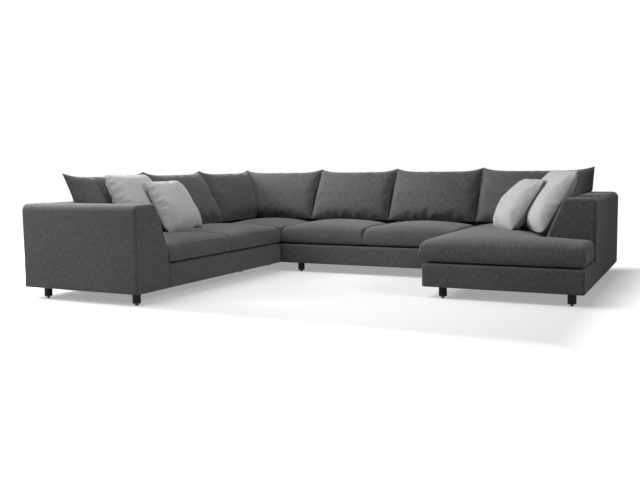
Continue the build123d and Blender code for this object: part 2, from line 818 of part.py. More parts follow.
def make_corner_module():
    left, right = cover_wall, module_depth - half_gap - cover_wall
    near, far = -module_depth + half_gap + cover_wall, -cover_wall
    legs = [
        (leg_rear_inset, -leg_rear_inset),
        (module_depth - leg_joint_inset, -leg_rear_inset),
        (leg_rear_inset, -module_depth + leg_joint_inset),
        (module_depth - leg_hidden_inset, -module_depth + leg_hidden_inset),
    ]
    lines_x = [left, arm_thickness - board_thickness, right - board_thickness]
    lines_y = [near, -arm_thickness, far - board_thickness]
    boards = boards_between(lines_x, lines_y, "x")
    formers = back_formers(left, right) + side_formers(near, -arm_thickness)
    keep_frame("corner_frame", boards, formers, legs, (left, near), (right, far))
    keep_webbing("corner_webbing", (lines_x[1] + half_board, near), (right, lines_y[1] + half_board))
    keep_dust_cloth("corner_dust_cloth", (left, near), (right, far), legs)
    keep_legs("corner", legs)


def make_centre_module():
    left = centre_start + half_gap + cover_wall
    right = chaise_start - half_gap - cover_wall
    near, far = -module_depth + cover_wall, -cover_wall
    legs = [
        (centre_start + leg_joint_inset, -module_depth + leg_front_inset),
        (chaise_start - leg_joint_inset, -module_depth + leg_front_inset),
        (centre_start + leg_joint_inset, -leg_rear_inset),
        (chaise_start - leg_joint_inset, -leg_rear_inset),
    ]
    lines_x = spaced(left, right - board_thickness, cross_rail_pitch)
    lines_y = [near, -arm_thickness, far - board_thickness]
    boards = boards_between(lines_x, lines_y, "x")
    keep_frame("centre_frame", boards, back_formers(left, right), legs, (left, near), (right, far))
    keep_webbing("centre_webbing", (left, near), (right, lines_y[1] + half_board))
    keep_dust_cloth("centre_dust_cloth", (left, near), (right, far), legs)
    keep_legs("centre", legs)


def make_chaise_module():
    left, right = chaise_start + half_gap + cover_wall, overall_width - cover_wall
    near, far = -chaise_length + cover_wall, -cover_wall
    legs = [
        (chaise_start + chaise_left_leg_inset, -chaise_length + chaise_front_leg_inset),
        (overall_width - chaise_right_leg_inset, -chaise_length + chaise_front_leg_inset),
        (chaise_start + chaise_left_leg_inset, -leg_rear_inset),
        (overall_width - leg_joint_inset, -leg_rear_inset),
    ]
    seat_line = -arm_thickness
    arm_line = -chaise_arm_length
    lines_x = [left, chaise_arm_foot, right - board_thickness]
    lines_y = [near] + spaced(arm_line, seat_line, cross_rail_pitch) + [far - board_thickness]
    boards = boards_between(lines_x, lines_y, "y")
    arm_run = side_formers(-chaise_arm_length + cover_wall, -cover_wall)
    arm_formers = [Pos(overall_width, 0, 0) * former.mirror(Plane.YZ) for former in arm_run]
    formers = arm_formers + back_formers(left, chaise_arm_foot)
    keep_frame("chaise_frame", boards, formers, legs, (left, near), (right, far))
    keep_webbing("chaise_webbing", (left, near), (chaise_arm_foot, seat_line + half_board))
    keep_dust_cloth("chaise_dust_cloth", (left, near), (right, far), legs)
    keep_legs("chaise", legs)


def make_hooks():
    """Two hooks at each joint: the arms on one module, the eyes on the next."""
    left_joint = [(x, -module_depth) for x in (hook_inset, module_depth - hook_inset)]
    centre_joint = [(centre_start, y) for y in (-hook_inset, hook_inset - module_depth)]
    chaise_joint = [(chaise_start, y) for y in (-hook_inset, hook_inset - module_depth)]
    corner_arms = [hook_arm(place, -quarter_turn) for place in left_joint]
    corner_arms += [hook_arm(place, 0) for place in centre_joint]
    keep("corner_hooks", corner_arms)
    keep("left_hooks", [hook_eye(place, -quarter_turn) for place in left_joint])
    centre_eyes = [hook_eye(place, 0) for place in centre_joint]
    keep("centre_hooks", centre_eyes + [hook_arm(place, 0) for place in chaise_joint])
    keep("chaise_hooks", [hook_eye(place, 0) for place in chaise_joint])


make_left_covers()
make_corner_covers()
make_centre_covers()
make_chaise_covers()
make_left_module()
make_corner_module()
make_centre_module()
make_chaise_module()
make_hooks()
make_seat_cushions()
make_back_cushions()
make_pillows()

os.makedirs("parts", exist_ok=True)
for name, shape in parts.items():
    export_step(shape, f"parts/{name}.step")
    print(name, len(shape.solids()))
print(len(parts), "nodes")
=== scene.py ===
import math

import bmesh
import bpy
import numpy as np
from mathutils import Matrix, Vector


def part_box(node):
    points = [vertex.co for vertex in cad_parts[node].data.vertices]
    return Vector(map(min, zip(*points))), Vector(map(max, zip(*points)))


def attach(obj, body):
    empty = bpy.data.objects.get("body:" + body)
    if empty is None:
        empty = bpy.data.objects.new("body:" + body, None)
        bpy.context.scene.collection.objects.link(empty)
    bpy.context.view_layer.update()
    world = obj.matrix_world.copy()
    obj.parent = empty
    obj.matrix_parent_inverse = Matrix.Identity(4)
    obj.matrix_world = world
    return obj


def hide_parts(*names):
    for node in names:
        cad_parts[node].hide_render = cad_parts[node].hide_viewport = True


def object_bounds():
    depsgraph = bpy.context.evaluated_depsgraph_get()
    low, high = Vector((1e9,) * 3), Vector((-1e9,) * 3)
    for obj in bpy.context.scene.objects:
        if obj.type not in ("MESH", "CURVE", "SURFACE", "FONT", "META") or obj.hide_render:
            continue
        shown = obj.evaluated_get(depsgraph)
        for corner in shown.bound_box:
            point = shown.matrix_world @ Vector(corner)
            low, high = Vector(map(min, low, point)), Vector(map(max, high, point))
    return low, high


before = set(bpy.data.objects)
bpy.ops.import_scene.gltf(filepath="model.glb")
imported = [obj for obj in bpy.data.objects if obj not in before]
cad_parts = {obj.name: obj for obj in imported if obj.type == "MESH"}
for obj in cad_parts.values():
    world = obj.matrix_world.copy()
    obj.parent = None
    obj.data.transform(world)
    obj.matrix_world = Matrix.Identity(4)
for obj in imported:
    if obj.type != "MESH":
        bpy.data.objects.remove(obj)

cad_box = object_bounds()
scene = bpy.context.scene
full_turn = 2 * math.pi

# Viewpoint
# A camera in front of the open side, a little right of it and at a seated person's eye height,
# turned to the left and tipped slightly down, as in the photograph.
camera_place = (2.4573, -5.4103, 0.878)
camera_turn = 0.4582
camera_tip = 0.0919
camera_roll = 0.0124
camera_lens = 44.57
sensor_width = 36.0
camera_sight = 100.0

camera_data = bpy.data.cameras.new("viewpoint")
camera_data.lens = camera_lens
camera_data.sensor_width = sensor_width
camera_data.clip_end = camera_sight
camera = bpy.data.objects.new("viewpoint", camera_data)
scene.collection.objects.link(camera)
camera_facing = Matrix.Rotation(camera_turn, 4, "Z")
camera_facing = camera_facing @ Matrix.Rotation(math.pi / 2 - camera_tip, 4, "X")
camera_facing = camera_facing @ Matrix.Rotation(-camera_roll, 4, "Z")
camera.matrix_world = Matrix.Translation(camera_place) @ camera_facing
scene.camera = camera

# Studio
# A white floor that keeps the soft shadow below the sofa, with painted shade added round it, white all
# round for the camera and for reflections, a large soft lamp overhead, a strong one low on the left
# from behind, and two weak ones: one on the left in front, and a narrow one from the right for the
# left arm's end panel.
floor_reach = 40.0
floor_color = (0.56, 0.56, 0.56, 1)
floor_shadow_glow = 0.34
floor_clear_reach = 0.4
sky_color = (0.95, 0.97, 1, 1)
sky_strength = 0.08
white = (1, 1, 1, 1)

# Each lamp's place, the point it faces, its width and height, its power in watts and the angle
# that its light spreads in.
lamps = {
    "overhead_lamp": ((-2.3, -1.0, 4.8), (-0.6, -0.1, 0.2), (6.0, 4.6), 264, 180),
    "high_left_lamp": ((-4.8, -0.8, 2.3), (0.2, 0.4, 0.6), (2.1, 2.1), 330, 180),
    "left_front_lamp": ((-4.4, -4.8, 2.8), (-1.4, -0.8, 0.4), (2.6, 2.2), 74, 180),
    "right_lamp": ((5.0, -1.4, 3.4), (-1.5, -0.5, 0.5), (1.5, 1.5), 15, 50),
}

scene.view_settings.view_transform = "Standard"


def shader(tree, kind, **values):
    """Adds a node and sets its sockets by name, a space written as an underscore."""
    node = tree.nodes.new(kind)
    for name, value in values.items():
        node.inputs[name.replace("_", " ")].default_value = value
    return node


def feed(tree, value, socket):
    """Gives a socket a number, a colour of three parts, or another node's output."""
    if isinstance(value, bpy.types.NodeSocket):
        tree.links.new(value, socket)
    elif isinstance(value, tuple):
        socket.default_value = (*value, 1)
    else:
        socket.default_value = value


def combined(tree, operation, *values):
    """Values added, subtracted, multiplied or compared."""
    node = tree.nodes.new("ShaderNodeMath")
    node.operation = operation
    for socket, value in zip(node.inputs, values):
        feed(tree, value, socket)
    return node.outputs[0]


def shown_instead(tree, usual, shown):
    """A shader that the camera and reflections see as another one."""
    ray = tree.nodes.new("ShaderNodeLightPath")
    seen = combined(tree, "MAXIMUM", ray.outputs["Is Camera Ray"], ray.outputs["Is Glossy Ray"])
    mix = tree.nodes.new("ShaderNodeMixShader")
    for output, socket in zip((seen, usual.outputs[0], shown.outputs[0]), mix.inputs):
        tree.links.new(output, socket)
    return mix.outputs[0]


world = bpy.data.worlds.new("studio")
scene.world = world
world.use_nodes = True
sky = world.node_tree
sky.nodes.clear()
sky_light = shader(sky, "ShaderNodeBackground", Color=sky_color, Strength=sky_strength)
sky_shown = shader(sky, "ShaderNodeBackground", Color=white, Strength=1.0)
sky_out = sky.nodes.new("ShaderNodeOutputWorld")
sky.links.new(shown_instead(sky, sky_light, sky_shown), sky_out.inputs["Surface"])

floor_mesh = bpy.data.meshes.new("studio_floor")
floor_corners = [(x * floor_reach, y * floor_reach, 0) for x, y in ((-1, -1), (1, -1), (1, 1), (-1, 1))]
floor_mesh.from_pydata(floor_corners, [], [(0, 1, 2, 3)])
floor = bpy.data.objects.new("studio_floor", floor_mesh)
scene.collection.objects.link(floor)

# The floor has a white light of its own that only the camera and reflections see: full a little way
# outside the sofa's plan, and weak below it and close round it, where the shadow is. This weaker
# light is painted shade on the floor there, added to the real shadow under the sofa.
floor_finish = bpy.data.materials.new("studio_floor_white")
floor_finish.use_nodes = True
floor_tree = floor_finish.node_tree
floor_tree.nodes.clear()
floor_matt = shader(floor_tree, "ShaderNodeBsdfDiffuse", Color=floor_color)
floor_glow = shader(floor_tree, "ShaderNodeEmission", Color=white)
floor_dark = shader(floor_tree, "ShaderNodeEmission", Color=white, Strength=0.0)
floor_place = floor_tree.nodes.new("ShaderNodeTexCoord")
floor_axes = floor_tree.nodes.new("ShaderNodeSeparateXYZ")
floor_tree.links.new(floor_place.outputs["Object"], floor_axes.inputs[0])
floor_beyond = []
for axis, half_reach in zip(floor_axes.outputs, cad_box[1][:2]):
    aside = combined(floor_tree, "ABSOLUTE", axis)
    floor_beyond.append(combined(floor_tree, "SUBTRACT", aside, half_reach))
# The floor's own light, weak under the sofa and rising to full just outside it: painted shade round the
# sofa.
floor_level = shader(
    floor_tree, "ShaderNodeMapRange", From_Max=floor_clear_reach, To_Min=floor_shadow_glow
)
floor_sum = floor_tree.nodes.new("ShaderNodeAddShader")
floor_out = floor_tree.nodes.new("ShaderNodeOutputMaterial")
for output, socket in (
    (combined(floor_tree, "MAXIMUM", *floor_beyond), floor_level.inputs["Value"]),
    (floor_level.outputs["Result"], floor_glow.inputs["Strength"]),
    (floor_matt.outputs[0], floor_sum.inputs[0]),
    (shown_instead(floor_tree, floor_dark, floor_glow), floor_sum.inputs[1]),
    (floor_sum.outputs[0], floor_out.inputs["Surface"]),
):
    floor_tree.links.new(output, socket)
floor_mesh.materials.append(floor_finish)

for name, (place, target, size, power, spread) in lamps.items():
    lamp_data = bpy.data.lights.new(name, "AREA")
    lamp_data.shape = "RECTANGLE"
    lamp_data.size, lamp_data.size_y = size
    lamp_data.energy = power
    lamp_data.spread = math.radians(spread)
    lamp = bpy.data.objects.new(name, lamp_data)
    scene.collection.objects.link(lamp)
    facing = (Vector(target) - Vector(place)).to_track_quat("-Z", "Y").to_matrix().to_4x4()
    lamp.matrix_world = Matrix.Translation(place) @ facing

# Arms
# Timber formers padded with foam and wadding under a charcoal woven cover: upright outside,
# slanted inside, soft along the top. The front panel is sewn in with a fine corded seam.
arm_low, arm_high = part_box("left_arm_cover")
chaise_low, chaise_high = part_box("chaise_arm_cover")
casing_bottom = arm_low.z
casing_top = arm_high.z
casing_foot = arm_high.y - arm_low.y
deck_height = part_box("left_base_cover")[1].z
top_flat_width = 0.215
slant_foot_height = 0.350
outer_top_radius = 0.045
inner_top_radius = 0.040
slant_foot_radius = 0.060
hem_radius = 0.008
hem_return = 0.020
hem_margin = 0.001
panel_edge_radius = 0.020
rear_edge_radius = 0.012
flush_edge_radius = 0.003
panel_ring_shares = (0.985, 0.9, 0.75, 0.6, 0.45, 0.3, 0.15, 0)
butt_overlap = 0.003
base_side_reach = 0.004
cloth_thickness = 0.002
seam_cord_radius = 0.0010
seam_sink_share = 0.25
cord_sides = 8
mesh_step = 0.020
patch_merge = 0.0002
cord_merge = 0.00001
arc_points = 7
edge_points = 5
seam_angle = math.pi / 4


def unit(vectors):
    """Vectors brought to a length of one."""
    return vectors / np.linalg.norm(vectors, axis=-1, keepdims=True)


def rounded_outline(corners, radii, step):
    """A closed outline with a tangent arc at each corner, and the directions out of it.

    Each arc has its middle on the corner's bisector, one radius from both sides; the straight
    runs between arcs are divided evenly.
    """
    corners = np.array(corners, float)
    arcs = []
    for index, radius in enumerate(radii):
        corner = corners[index]
        back = unit(corners[index - 1] - corner)
        ahead = unit(corners[(index + 1) % len(corners)] - corner)
        half = math.acos(np.clip(back @ ahead, -1, 1)) / 2
        middle = corner + unit(back + ahead) * radius / math.sin(half)
        start = corner + back * radius / math.tan(half) - middle
        end = corner + ahead * radius / math.tan(half) - middle
        first = math.atan2(start[1], start[0])
        turn = (math.atan2(end[1], end[0]) - first + math.pi) % full_turn - math.pi
        angles = first + turn * np.linspace(0, 1, arc_points)
        arcs.append(middle + radius * np.stack([np.cos(angles), np.sin(angles)], 1))
    runs = []
    for arc, following in zip(arcs, arcs[1:] + arcs[:1]):
        gap = following[0] - arc[-1]
        inner = np.linspace(0, 1, max(2, int(np.linalg.norm(gap) / step) + 2))[1:-1, None]
        runs += [arc, arc[-1] + gap * inner]
    outline = np.concatenate(runs)
    tangent = unit(np.roll(outline, -1, axis=0) - np.roll(outline, 1, axis=0))
    outward = np.stack([tangent[:, 1], -tangent[:, 0]], 1)
    x, y = outline.T
    return outline, outward * np.sign(np.sum(x * np.roll(y, -1) - y * np.roll(x, -1)))


def run_length(points):
    """The length run along a line of points, starting at zero."""
    steps = np.linalg.norm(np.diff(points, axis=0), axis=1)
    return np.concatenate([[0.0], np.cumsum(steps)])


def cells(grid):
    """What a grid holds at the four corners of each of its cells, in turn round the cell."""
    corners = [grid[:-1, :-1], grid[:-1, 1:], grid[1:, 1:], grid[1:, :-1]]
    return np.stack(corners, 2).reshape(-1, 4, *grid.shape[2:])


def threaded_mesh(name, vertices, faces, threads):
    """A smooth mesh with the cloth's thread coordinates, in metres, as its UV map."""
    mesh = bpy.data.meshes.new(name)
    mesh.from_pydata(vertices.tolist(), [], faces.tolist())
    layer = mesh.uv_layers.new(name="threads")
    layer.data.foreach_set("uv", threads.astype(np.float32).ravel())
    mesh.polygons.foreach_set("use_smooth", np.ones(len(faces), bool))
    return mesh


def mesh_from_patches(name, patches, merge=patch_merge):
    """A mesh from grids of points with thread coordinates, joined along shared edges.

    A patch is (points, threads, turn): points by rows and columns, thread coordinates on the
    same grid, and, where the last column joins the first, how far the thread coordinate goes
    in one turn, otherwise None.
    """
    vertices, faces, threads = [], [], []
    start = 0
    for points, cloth, turn in patches:
        rows, columns = points.shape[:2]
        index = start + np.arange(rows * columns).reshape(rows, columns)
        if turn is not None:
            index = np.concatenate([index, index[:, :1]], axis=1)
            cloth = np.concatenate([cloth, cloth[:, :1] + np.array([turn, 0])], axis=1)
        faces.append(cells(index))
        threads.append(cells(cloth))
        vertices.append(points.reshape(-1, 3))
        start += rows * columns
    mesh = threaded_mesh(name, *(np.concatenate(parts) for parts in (vertices, faces, threads)))
    joined = bmesh.new()
    joined.from_mesh(mesh)
    bmesh.ops.remove_doubles(joined, verts=joined.verts, dist=merge)
    bmesh.ops.dissolve_degenerate(joined, edges=joined.edges, dist=merge / 4)
    bmesh.ops.recalc_face_normals(joined, faces=joined.faces)
    joined.to_mesh(mesh)
    joined.free()
    return mesh


def add_piece(name, mesh, body, finish):
    """Puts a mesh in the scene as a piece that rides on a body."""
    piece = bpy.data.objects.new(name, mesh)
    scene.collection.objects.link(piece)
    mesh.materials.append(finish)
    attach(piece, body)
    return piece


# The section of all arms and backs, as (across, height) from the foot of its outer side.
casing_outline, casing_outward = rounded_outline(
    [
        (0, casing_bottom), (0, casing_top), (top_flat_width, casing_top),
        (casing_foot, slant_foot_height), (casing_foot, casing_bottom),
    ],
    [hem_radius, outer_top_radius, inner_top_radius, slant_foot_radius, hem_radius],
    mesh_step,
)


def casing_width(height):
    """How far across the slanted inner side of the section is at a height."""
    across, up = casing_outline.T
    inner = casing_outline[(across > top_flat_width - inner_top_radius) & (up > deck_height)]
    order = np.argsort(inner[:, 1], kind="stable")
    return np.interp(height, inner[order, 1], inner[order, 0])


def casing_run(hidden):
    """The order of the section's points without the hidden ones, from the end of the gap."""
    start = np.flatnonzero(hidden & ~np.roll(hidden, -1))[0] + 1
    order = np.roll(np.arange(len(hidden)), -start)
    return order[~hidden[order]]


def placed(place, section, distance):
    """Where a point (a, h) of the section is at a distance: origin + across a + along l + up h."""
    origin, across, along = (np.array(value, float) for value in place)
    distance = np.broadcast_to(distance, section.shape[:-1])[..., None]
    return origin + section[..., :1] * across + distance * along + section[..., 1:] * np.array((0, 0, 1.0))


def panel_rings(edge_radius, sewn_on):
    """Rings that close an end flat: the outline, a quarter-round edge, then shrinking rings.

    On the edge the inset is r(1 - sin a) and the recess r(1 - cos a) for a from 90 degrees to
    zero. Beside the base, and up the slant where another casing is sewn on, the panel is sewn
    flush and r is small. Inside it a ring is the last one shrunk to its middle by a share.
    """
    across, up = casing_outline.T
    above_hem = np.clip((up - casing_bottom) / (3 * hem_return), 0, 1)
    radius = np.minimum(edge_radius, 0.5 * hem_radius + edge_radius * above_hem)
    above_rail = np.clip((up - deck_height) / hem_return, 0, 1)
    flush = np.minimum(edge_radius, flush_edge_radius + edge_radius * above_rail)
    radius = np.where(across > casing_foot - cloth_thickness, np.minimum(radius, flush), radius)
    if sewn_on:
        inner = np.clip((across - top_flat_width / 2) / (top_flat_width / 4), 0, 1)
        radius = radius + (np.minimum(radius, flush_edge_radius) - radius) * inner
    rings = [(casing_outline, np.full(len(casing_outline), edge_radius))]
    for a in np.linspace(math.pi / 2, 0, arc_points):
        inset = radius * (1 - math.sin(a))
        rings.append((casing_outline - casing_outward * inset[:, None], radius * (1 - math.cos(a))))
    last = rings[-1][0]
    middle = (casing_outline.min(0) + casing_outline.max(0)) / 2
    for share in panel_ring_shares:
        rings.append((middle + (last - middle) * share, np.zeros(len(casing_outline))))
    return rings


def casing_mesh(name, place, length, near_edge, far_edge, butted=False, sewn_on=False):
    """A casing: the section's cloth carried along a line, with a panel at each end.

    Where the far end butts against another casing's slanted side, it ends there at its length
    less the other's width at that height, and it has no panel.
    """
    across, up = casing_outline.T
    low_inside = (across > casing_foot - base_side_reach) & (up < deck_height - base_side_reach)
    under = (up < casing_bottom + hem_margin) & (across > hem_return)
    strip = casing_outline[casing_run(low_inside | under)]
    run = run_length(strip)
    far_end = np.full(len(strip), length - far_edge)
    if butted:
        far_end = length - casing_width(strip[:, 1]) + butt_overlap
    rows = max(4, int(length / mesh_step))
    distance = near_edge + (far_end - near_edge) * np.linspace(0, 1, rows)[:, None]
    sections = np.broadcast_to(strip, (rows, *strip.shape))
    cloth = np.stack([distance, np.broadcast_to(run, distance.shape)], 2)
    patches = [(placed(place, sections, distance), cloth, None)]
    ends = [(near_edge, False)] if butted else [(near_edge, False), (far_edge, True)]
    for edge, at_far_end in ends:
        rings = panel_rings(edge, sewn_on and not at_far_end)
        sections = np.stack([ring for ring, recess in rings])
        recess = np.stack([recess for ring, recess in rings])
        distance = length - recess if at_far_end else recess
        patches.append((placed(place, sections, distance), sections, 0.0))
    return mesh_from_patches(name, patches)


def laid_on(tree, coordinates, kind, **values):
    """The outputs of a texture or mapping that is laid on coordinates."""
    node = shader(tree, kind, **values)
    tree.links.new(coordinates, node.inputs["Vector"])
    return node.outputs


def noise_mask(tree, coordinates, scale, detail):
    """A noise texture's value on coordinates."""
    values = {"Scale": scale, "Detail": detail, "Roughness": 0.55}
    return laid_on(tree, coordinates, "ShaderNodeTexNoise", **values)["Fac"]


def mapped(tree, coordinates, scale):
    """Coordinates stretched by a scale for each axis."""
    return laid_on(tree, coordinates, "ShaderNodeMapping", Scale=scale)["Vector"]


def blended(tree, mask, first, second):
    """A colour between two, by a mask."""
    mix = tree.nodes.new("ShaderNodeMix")
    mix.data_type = "RGBA"
    for socket, value in (("A", first), ("B", second), ("Factor", mask)):
        feed(tree, value, mix.inputs[socket])
    return mix.outputs["Result"]


def stretched(tree, mask, low, high):
    """A mask stretched so that low becomes 0 and high becomes 1."""
    span = shader(tree, "ShaderNodeMapRange", From_Min=low, From_Max=high)
    tree.links.new(mask, span.inputs["Value"])
    return span.outputs["Result"]


def new_finish(name):
    """A new material, its node tree and the Object coordinates that its masks are laid on."""
    finish = bpy.data.materials.new(name)
    finish.use_nodes = True
    tree = finish.node_tree
    return finish, tree, tree.nodes.new("ShaderNodeTexCoord").outputs["Object"]


def coat(tree, color, roughness, relief=None, strength=0.4, depth=0.0004):
    """Feeds a material's colour and roughness, and its normal from a relief's height."""
    surface = tree.nodes["Principled BSDF"]
    feed(tree, color, surface.inputs["Base Color"])
    feed(tree, roughness, surface.inputs["Roughness"])
    if relief is not None:
        bump = shader(tree, "ShaderNodeBump", Strength=strength, Distance=depth)
        tree.links.new(relief, bump.inputs["Height"])
        tree.links.new(bump.outputs["Normal"], surface.inputs["Normal"])
    return surface.inputs


def weighted(tree, *terms):
    """A sum of masks, each times its weight."""
    total = combined(tree, "MULTIPLY", *terms[0])
    for mask, weight in terms[1:]:
        total = combined(tree, "ADD", total, combined(tree, "MULTIPLY", mask, weight))
    return total


def weave_group():
    """The cloth's weave as a node group on thread coordinates.

    Plain weave from two crossed waves, warp threads of uneven tone that run up the cloth with
    thicker slubs here and there, a heather speckle, and slow random changes of tone across the piece.
    """
    group = bpy.data.node_groups.new("slub_weave", "ShaderNodeTree")
    sockets = {
        "INPUT": (
            ("Threads", "Vector"), ("Space", "Vector"), ("Dark", "Color"), ("Light", "Color"),
            ("Slub Share", "Float"), ("Wave Scale", "Float"),
        ),
        "OUTPUT": (("Color", "Color"), ("Relief", "Float"), ("Roughness", "Float")),
    }
    for direction, names in sockets.items():
        for name, kind in names:
            group.interface.new_socket(name, in_out=direction, socket_type="NodeSocket" + kind)
    given = group.nodes.new("NodeGroupInput").outputs
    made = group.nodes.new("NodeGroupOutput").inputs
    crossed = []
    for direction in ("X", "Y"):
        wave = shader(group, "ShaderNodeTexWave", Distortion=1.2)
        wave.bands_direction = direction
        group.links.new(given["Wave Scale"], wave.inputs["Scale"])
        group.links.new(given["Threads"], wave.inputs["Vector"])
        crossed.append(wave.outputs["Fac"])
    weave = combined(group, "MULTIPLY", *crossed)
    uneven = []
    for across, along, detail, low, high in (
        (190, 24, 2.0, 0.40, 0.72), (380, 60, 3.0, 0.30, 0.75), (230, 150, 2.0, 0.30, 0.72),
    ):
        noise = noise_mask(group, mapped(group, given["Threads"], (across, along, 1)), 1.0, detail)
        uneven.append(stretched(group, noise, low, high))
    slubs, streaks, heather = uneven
    broad_tone = stretched(group, noise_mask(group, given["Space"], 2.3, 2.0), 0.35, 0.68)
    tone = [(slubs, given["Slub Share"]), (streaks, 0.36), (heather, 0.24), (weave, 0.12), (broad_tone, 0.16)]
    tone = weighted(group, *tone)
    group.links.new(blended(group, tone, given["Dark"], given["Light"]), made["Color"])
    group.links.new(weighted(group, (weave, 1.0), (slubs, 0.8), (streaks, 0.5)), made["Relief"])
    group.links.new(combined(group, "MULTIPLY_ADD", heather, 0.1, 0.82), made["Roughness"])
    return group


slub_weave = weave_group()


def woven_cloth(name, dark, light, slub_share, thread_pitch, sheen, depth):
    """A woven upholstery cloth on the piece's own thread coordinates."""
    cloth, tree, space = new_finish(name)
    threads = tree.nodes.new("ShaderNodeUVMap")
    threads.uv_map = "threads"
    weave = tree.nodes.new("ShaderNodeGroup")
    weave.node_tree = slub_weave
    for socket, value in (
        ("Threads", threads.outputs["UV"]), ("Space", space), ("Dark", dark), ("Light", light),
        ("Slub Share", slub_share), ("Wave Scale", 1 / (thread_pitch * math.pi)),
    ):
        feed(tree, value, weave.inputs[socket])
    made = weave.outputs
    surface = coat(tree, made["Color"], made["Roughness"], made["Relief"], 0.55, depth)
    surface["Specular IOR Level"].default_value = 0.2
    surface["Sheen Weight"].default_value = sheen
    surface["Sheen Roughness"].default_value = 0.45
    surface["Sheen Tint"].default_value = (0.8, 0.82, 0.85, 1)
    return cloth


upholstery = woven_cloth(
    "charcoal_slub_weave", dark=(0.020, 0.020, 0.020), light=(0.112, 0.112, 0.112),
    slub_share=0.45, thread_pitch=0.0022, sheen=0.25, depth=0.0006,
)


def seam_cord(name, line, body, radius=seam_cord_radius, finish=upholstery):
    """A fine corded seam: a round cord carried along a line of points.

    At each point the cord's ring lies across the line, on two directions square to it.
    """
    tangent = unit(np.gradient(line, axis=0))
    aside = unit(np.cross(tangent, (0.31, 0.52, 0.79)))[:, None]
    above = np.cross(tangent, aside[:, 0])[:, None]
    angle = np.linspace(0, full_turn, cord_sides + 1)[:-1]
    points = line[:, None] + radius * (aside * np.cos(angle)[:, None] + above * np.sin(angle)[:, None])
    cloth = np.stack(np.broadcast_arrays(angle[None, :] * radius, run_length(line)[:, None]), 2)
    ends = [np.broadcast_to(line[end], (1, len(angle), 3)) for end in (0, -1)]
    points = np.concatenate([ends[0], points, ends[1]])
    cloth = np.concatenate([cloth[:1], cloth, cloth[-1:]])
    mesh = mesh_from_patches(name, [(points, cloth, full_turn * radius)], merge=cord_merge)
    return add_piece(name, mesh, body, finish)


def sewn_over(name, mesh):
    """A casing's or base's cloth on its module, standing for the CAD cover of the same name."""
    node = name + "_cover"
    piece = add_piece(name, mesh, name.split("_")[0] + "_module", upholstery)
    wall = piece.modifiers.new("cloth", "SOLIDIFY")
    wall.thickness = cloth_thickness
    wall.offset = -1
    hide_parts(node)


def panel_seam(name, place, length, edge):
    """The corded seam round a front panel, over the top and down both sides to the base."""
    order = casing_run(casing_outline[:, 1] <= casing_bottom + base_side_reach)
    outward = casing_outward[order]
    ring = casing_outline[order] - outward * edge * (1 - math.sin(seam_angle))
    ring = ring - outward * seam_cord_radius * seam_sink_share
    distance = length - edge * (1 - math.cos(seam_angle)) - seam_cord_radius * seam_sink_share
    seam_cord(name + "_seam", placed(place, ring, distance), name.split("_")[0] + "_module")


# Each arm's place (origin, direction across, direction along) and length.
arm_placings = {
    "left_arm": ((arm_low.xy.to_3d(), (0, 1, 0), (1, 0, 0)), arm_high.x - arm_low.x),
    "chaise_arm": ((chaise_high.xy.to_3d(), (-1, 0, 0), (0, -1, 0)), chaise_high.y - chaise_low.y),
}
for name, (place, length) in arm_placings.items():
    sewn_over(name, casing_mesh(name, place, length, rear_edge_radius, panel_edge_radius))
    panel_seam(name, place, length, panel_edge_radius)

# Backs
# The same padded casings on the four modules' rear frames. Where one meets an arm or the other
# back of the corner it is butted against the slanted side and sewn to it.
joint_edge_radius = 0.007
rear_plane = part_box("corner_rear_back_cover")[1].y
left_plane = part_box("corner_side_back_cover")[0].x
left_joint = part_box("left_back_cover")[1].y
corner_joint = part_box("corner_side_back_cover")[0].y
corner_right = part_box("corner_rear_back_cover")[1].x
centre_low, centre_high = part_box("centre_back_cover")
chaise_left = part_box("chaise_back_cover")[0].x

facing_right = (1, 0, 0)
facing_front = (0, -1, 0)

# Each back's place and length, the edge radius of its near and far panel, and whether its far
# end is butted and its near panel sewn on.
back_placings = {
    "left_back": (
        ((left_plane, left_joint, 0), facing_right, (0, -1, 0)),
        left_joint - arm_low.y, joint_edge_radius, 0, True,
    ),
    "corner_side_back": (
        ((left_plane, corner_joint, 0), facing_right, (0, 1, 0)),
        rear_plane - corner_joint, joint_edge_radius, 0, True,
    ),
    "corner_rear_back": (
        ((left_plane, rear_plane, 0), facing_front, (1, 0, 0)),
        corner_right - left_plane, rear_edge_radius, joint_edge_radius, False, True,
    ),
    "centre_back": (
        ((centre_low.x, rear_plane, 0), facing_front, (1, 0, 0)),
        centre_high.x - centre_low.x, joint_edge_radius, joint_edge_radius,
    ),
    "chaise_back": (
        ((chaise_left, rear_plane, 0), facing_front, (1, 0, 0)),
        chaise_high.x - chaise_left, joint_edge_radius, 0, True,
    ),
}
for name, placing in back_placings.items():
    sewn_over(name, casing_mesh(name, *placing))

# Bases
# Upholstered rails round each module's frame, with the cover folded under below and over the
# seat deck above. The cover turns the front corners with a soft edge.
deck_edge_radius = 0.014
deck_fold = 0.030
deck_merge = 0.0003
flat_share = 0.99
base_corner_radius = 0.018
joint_corner_radius = 0.014


def rounded_path(corners, radius, step):
    """An open plan line, curved at each inner corner, and its directions out to the right.

    The curve round a corner c is s(1 - t)^2 + 2c t(1 - t) + e t^2, with its start s and end e
    one radius from the corner.
    """
    corners = np.array(corners, float)
    share = np.linspace(0, 1, arc_points)[:, None]
    runs = [corners[:1]]
    for last, corner, following in zip(corners, corners[1:], corners[2:]):
        start = corner + unit(last - corner) * radius
        end = corner + unit(following - corner) * radius
        runs.append(start * (1 - share) ** 2 + 2 * corner * share * (1 - share) + end * share**2)
    runs.append(corners[-1:])
    line = runs[:1]
    for run in runs[1:]:
        gap = run[0] - line[-1][-1]
        inner = np.linspace(0, 1, int(np.linalg.norm(gap) / step) + 2)[1:-1, None]
        line += [line[-1][-1] + gap * inner, run]
    line = np.concatenate(line)
    tangent = unit(np.gradient(line, axis=0))
    return line, np.stack([tangent[:, 1], -tangent[:, 0]], 1)


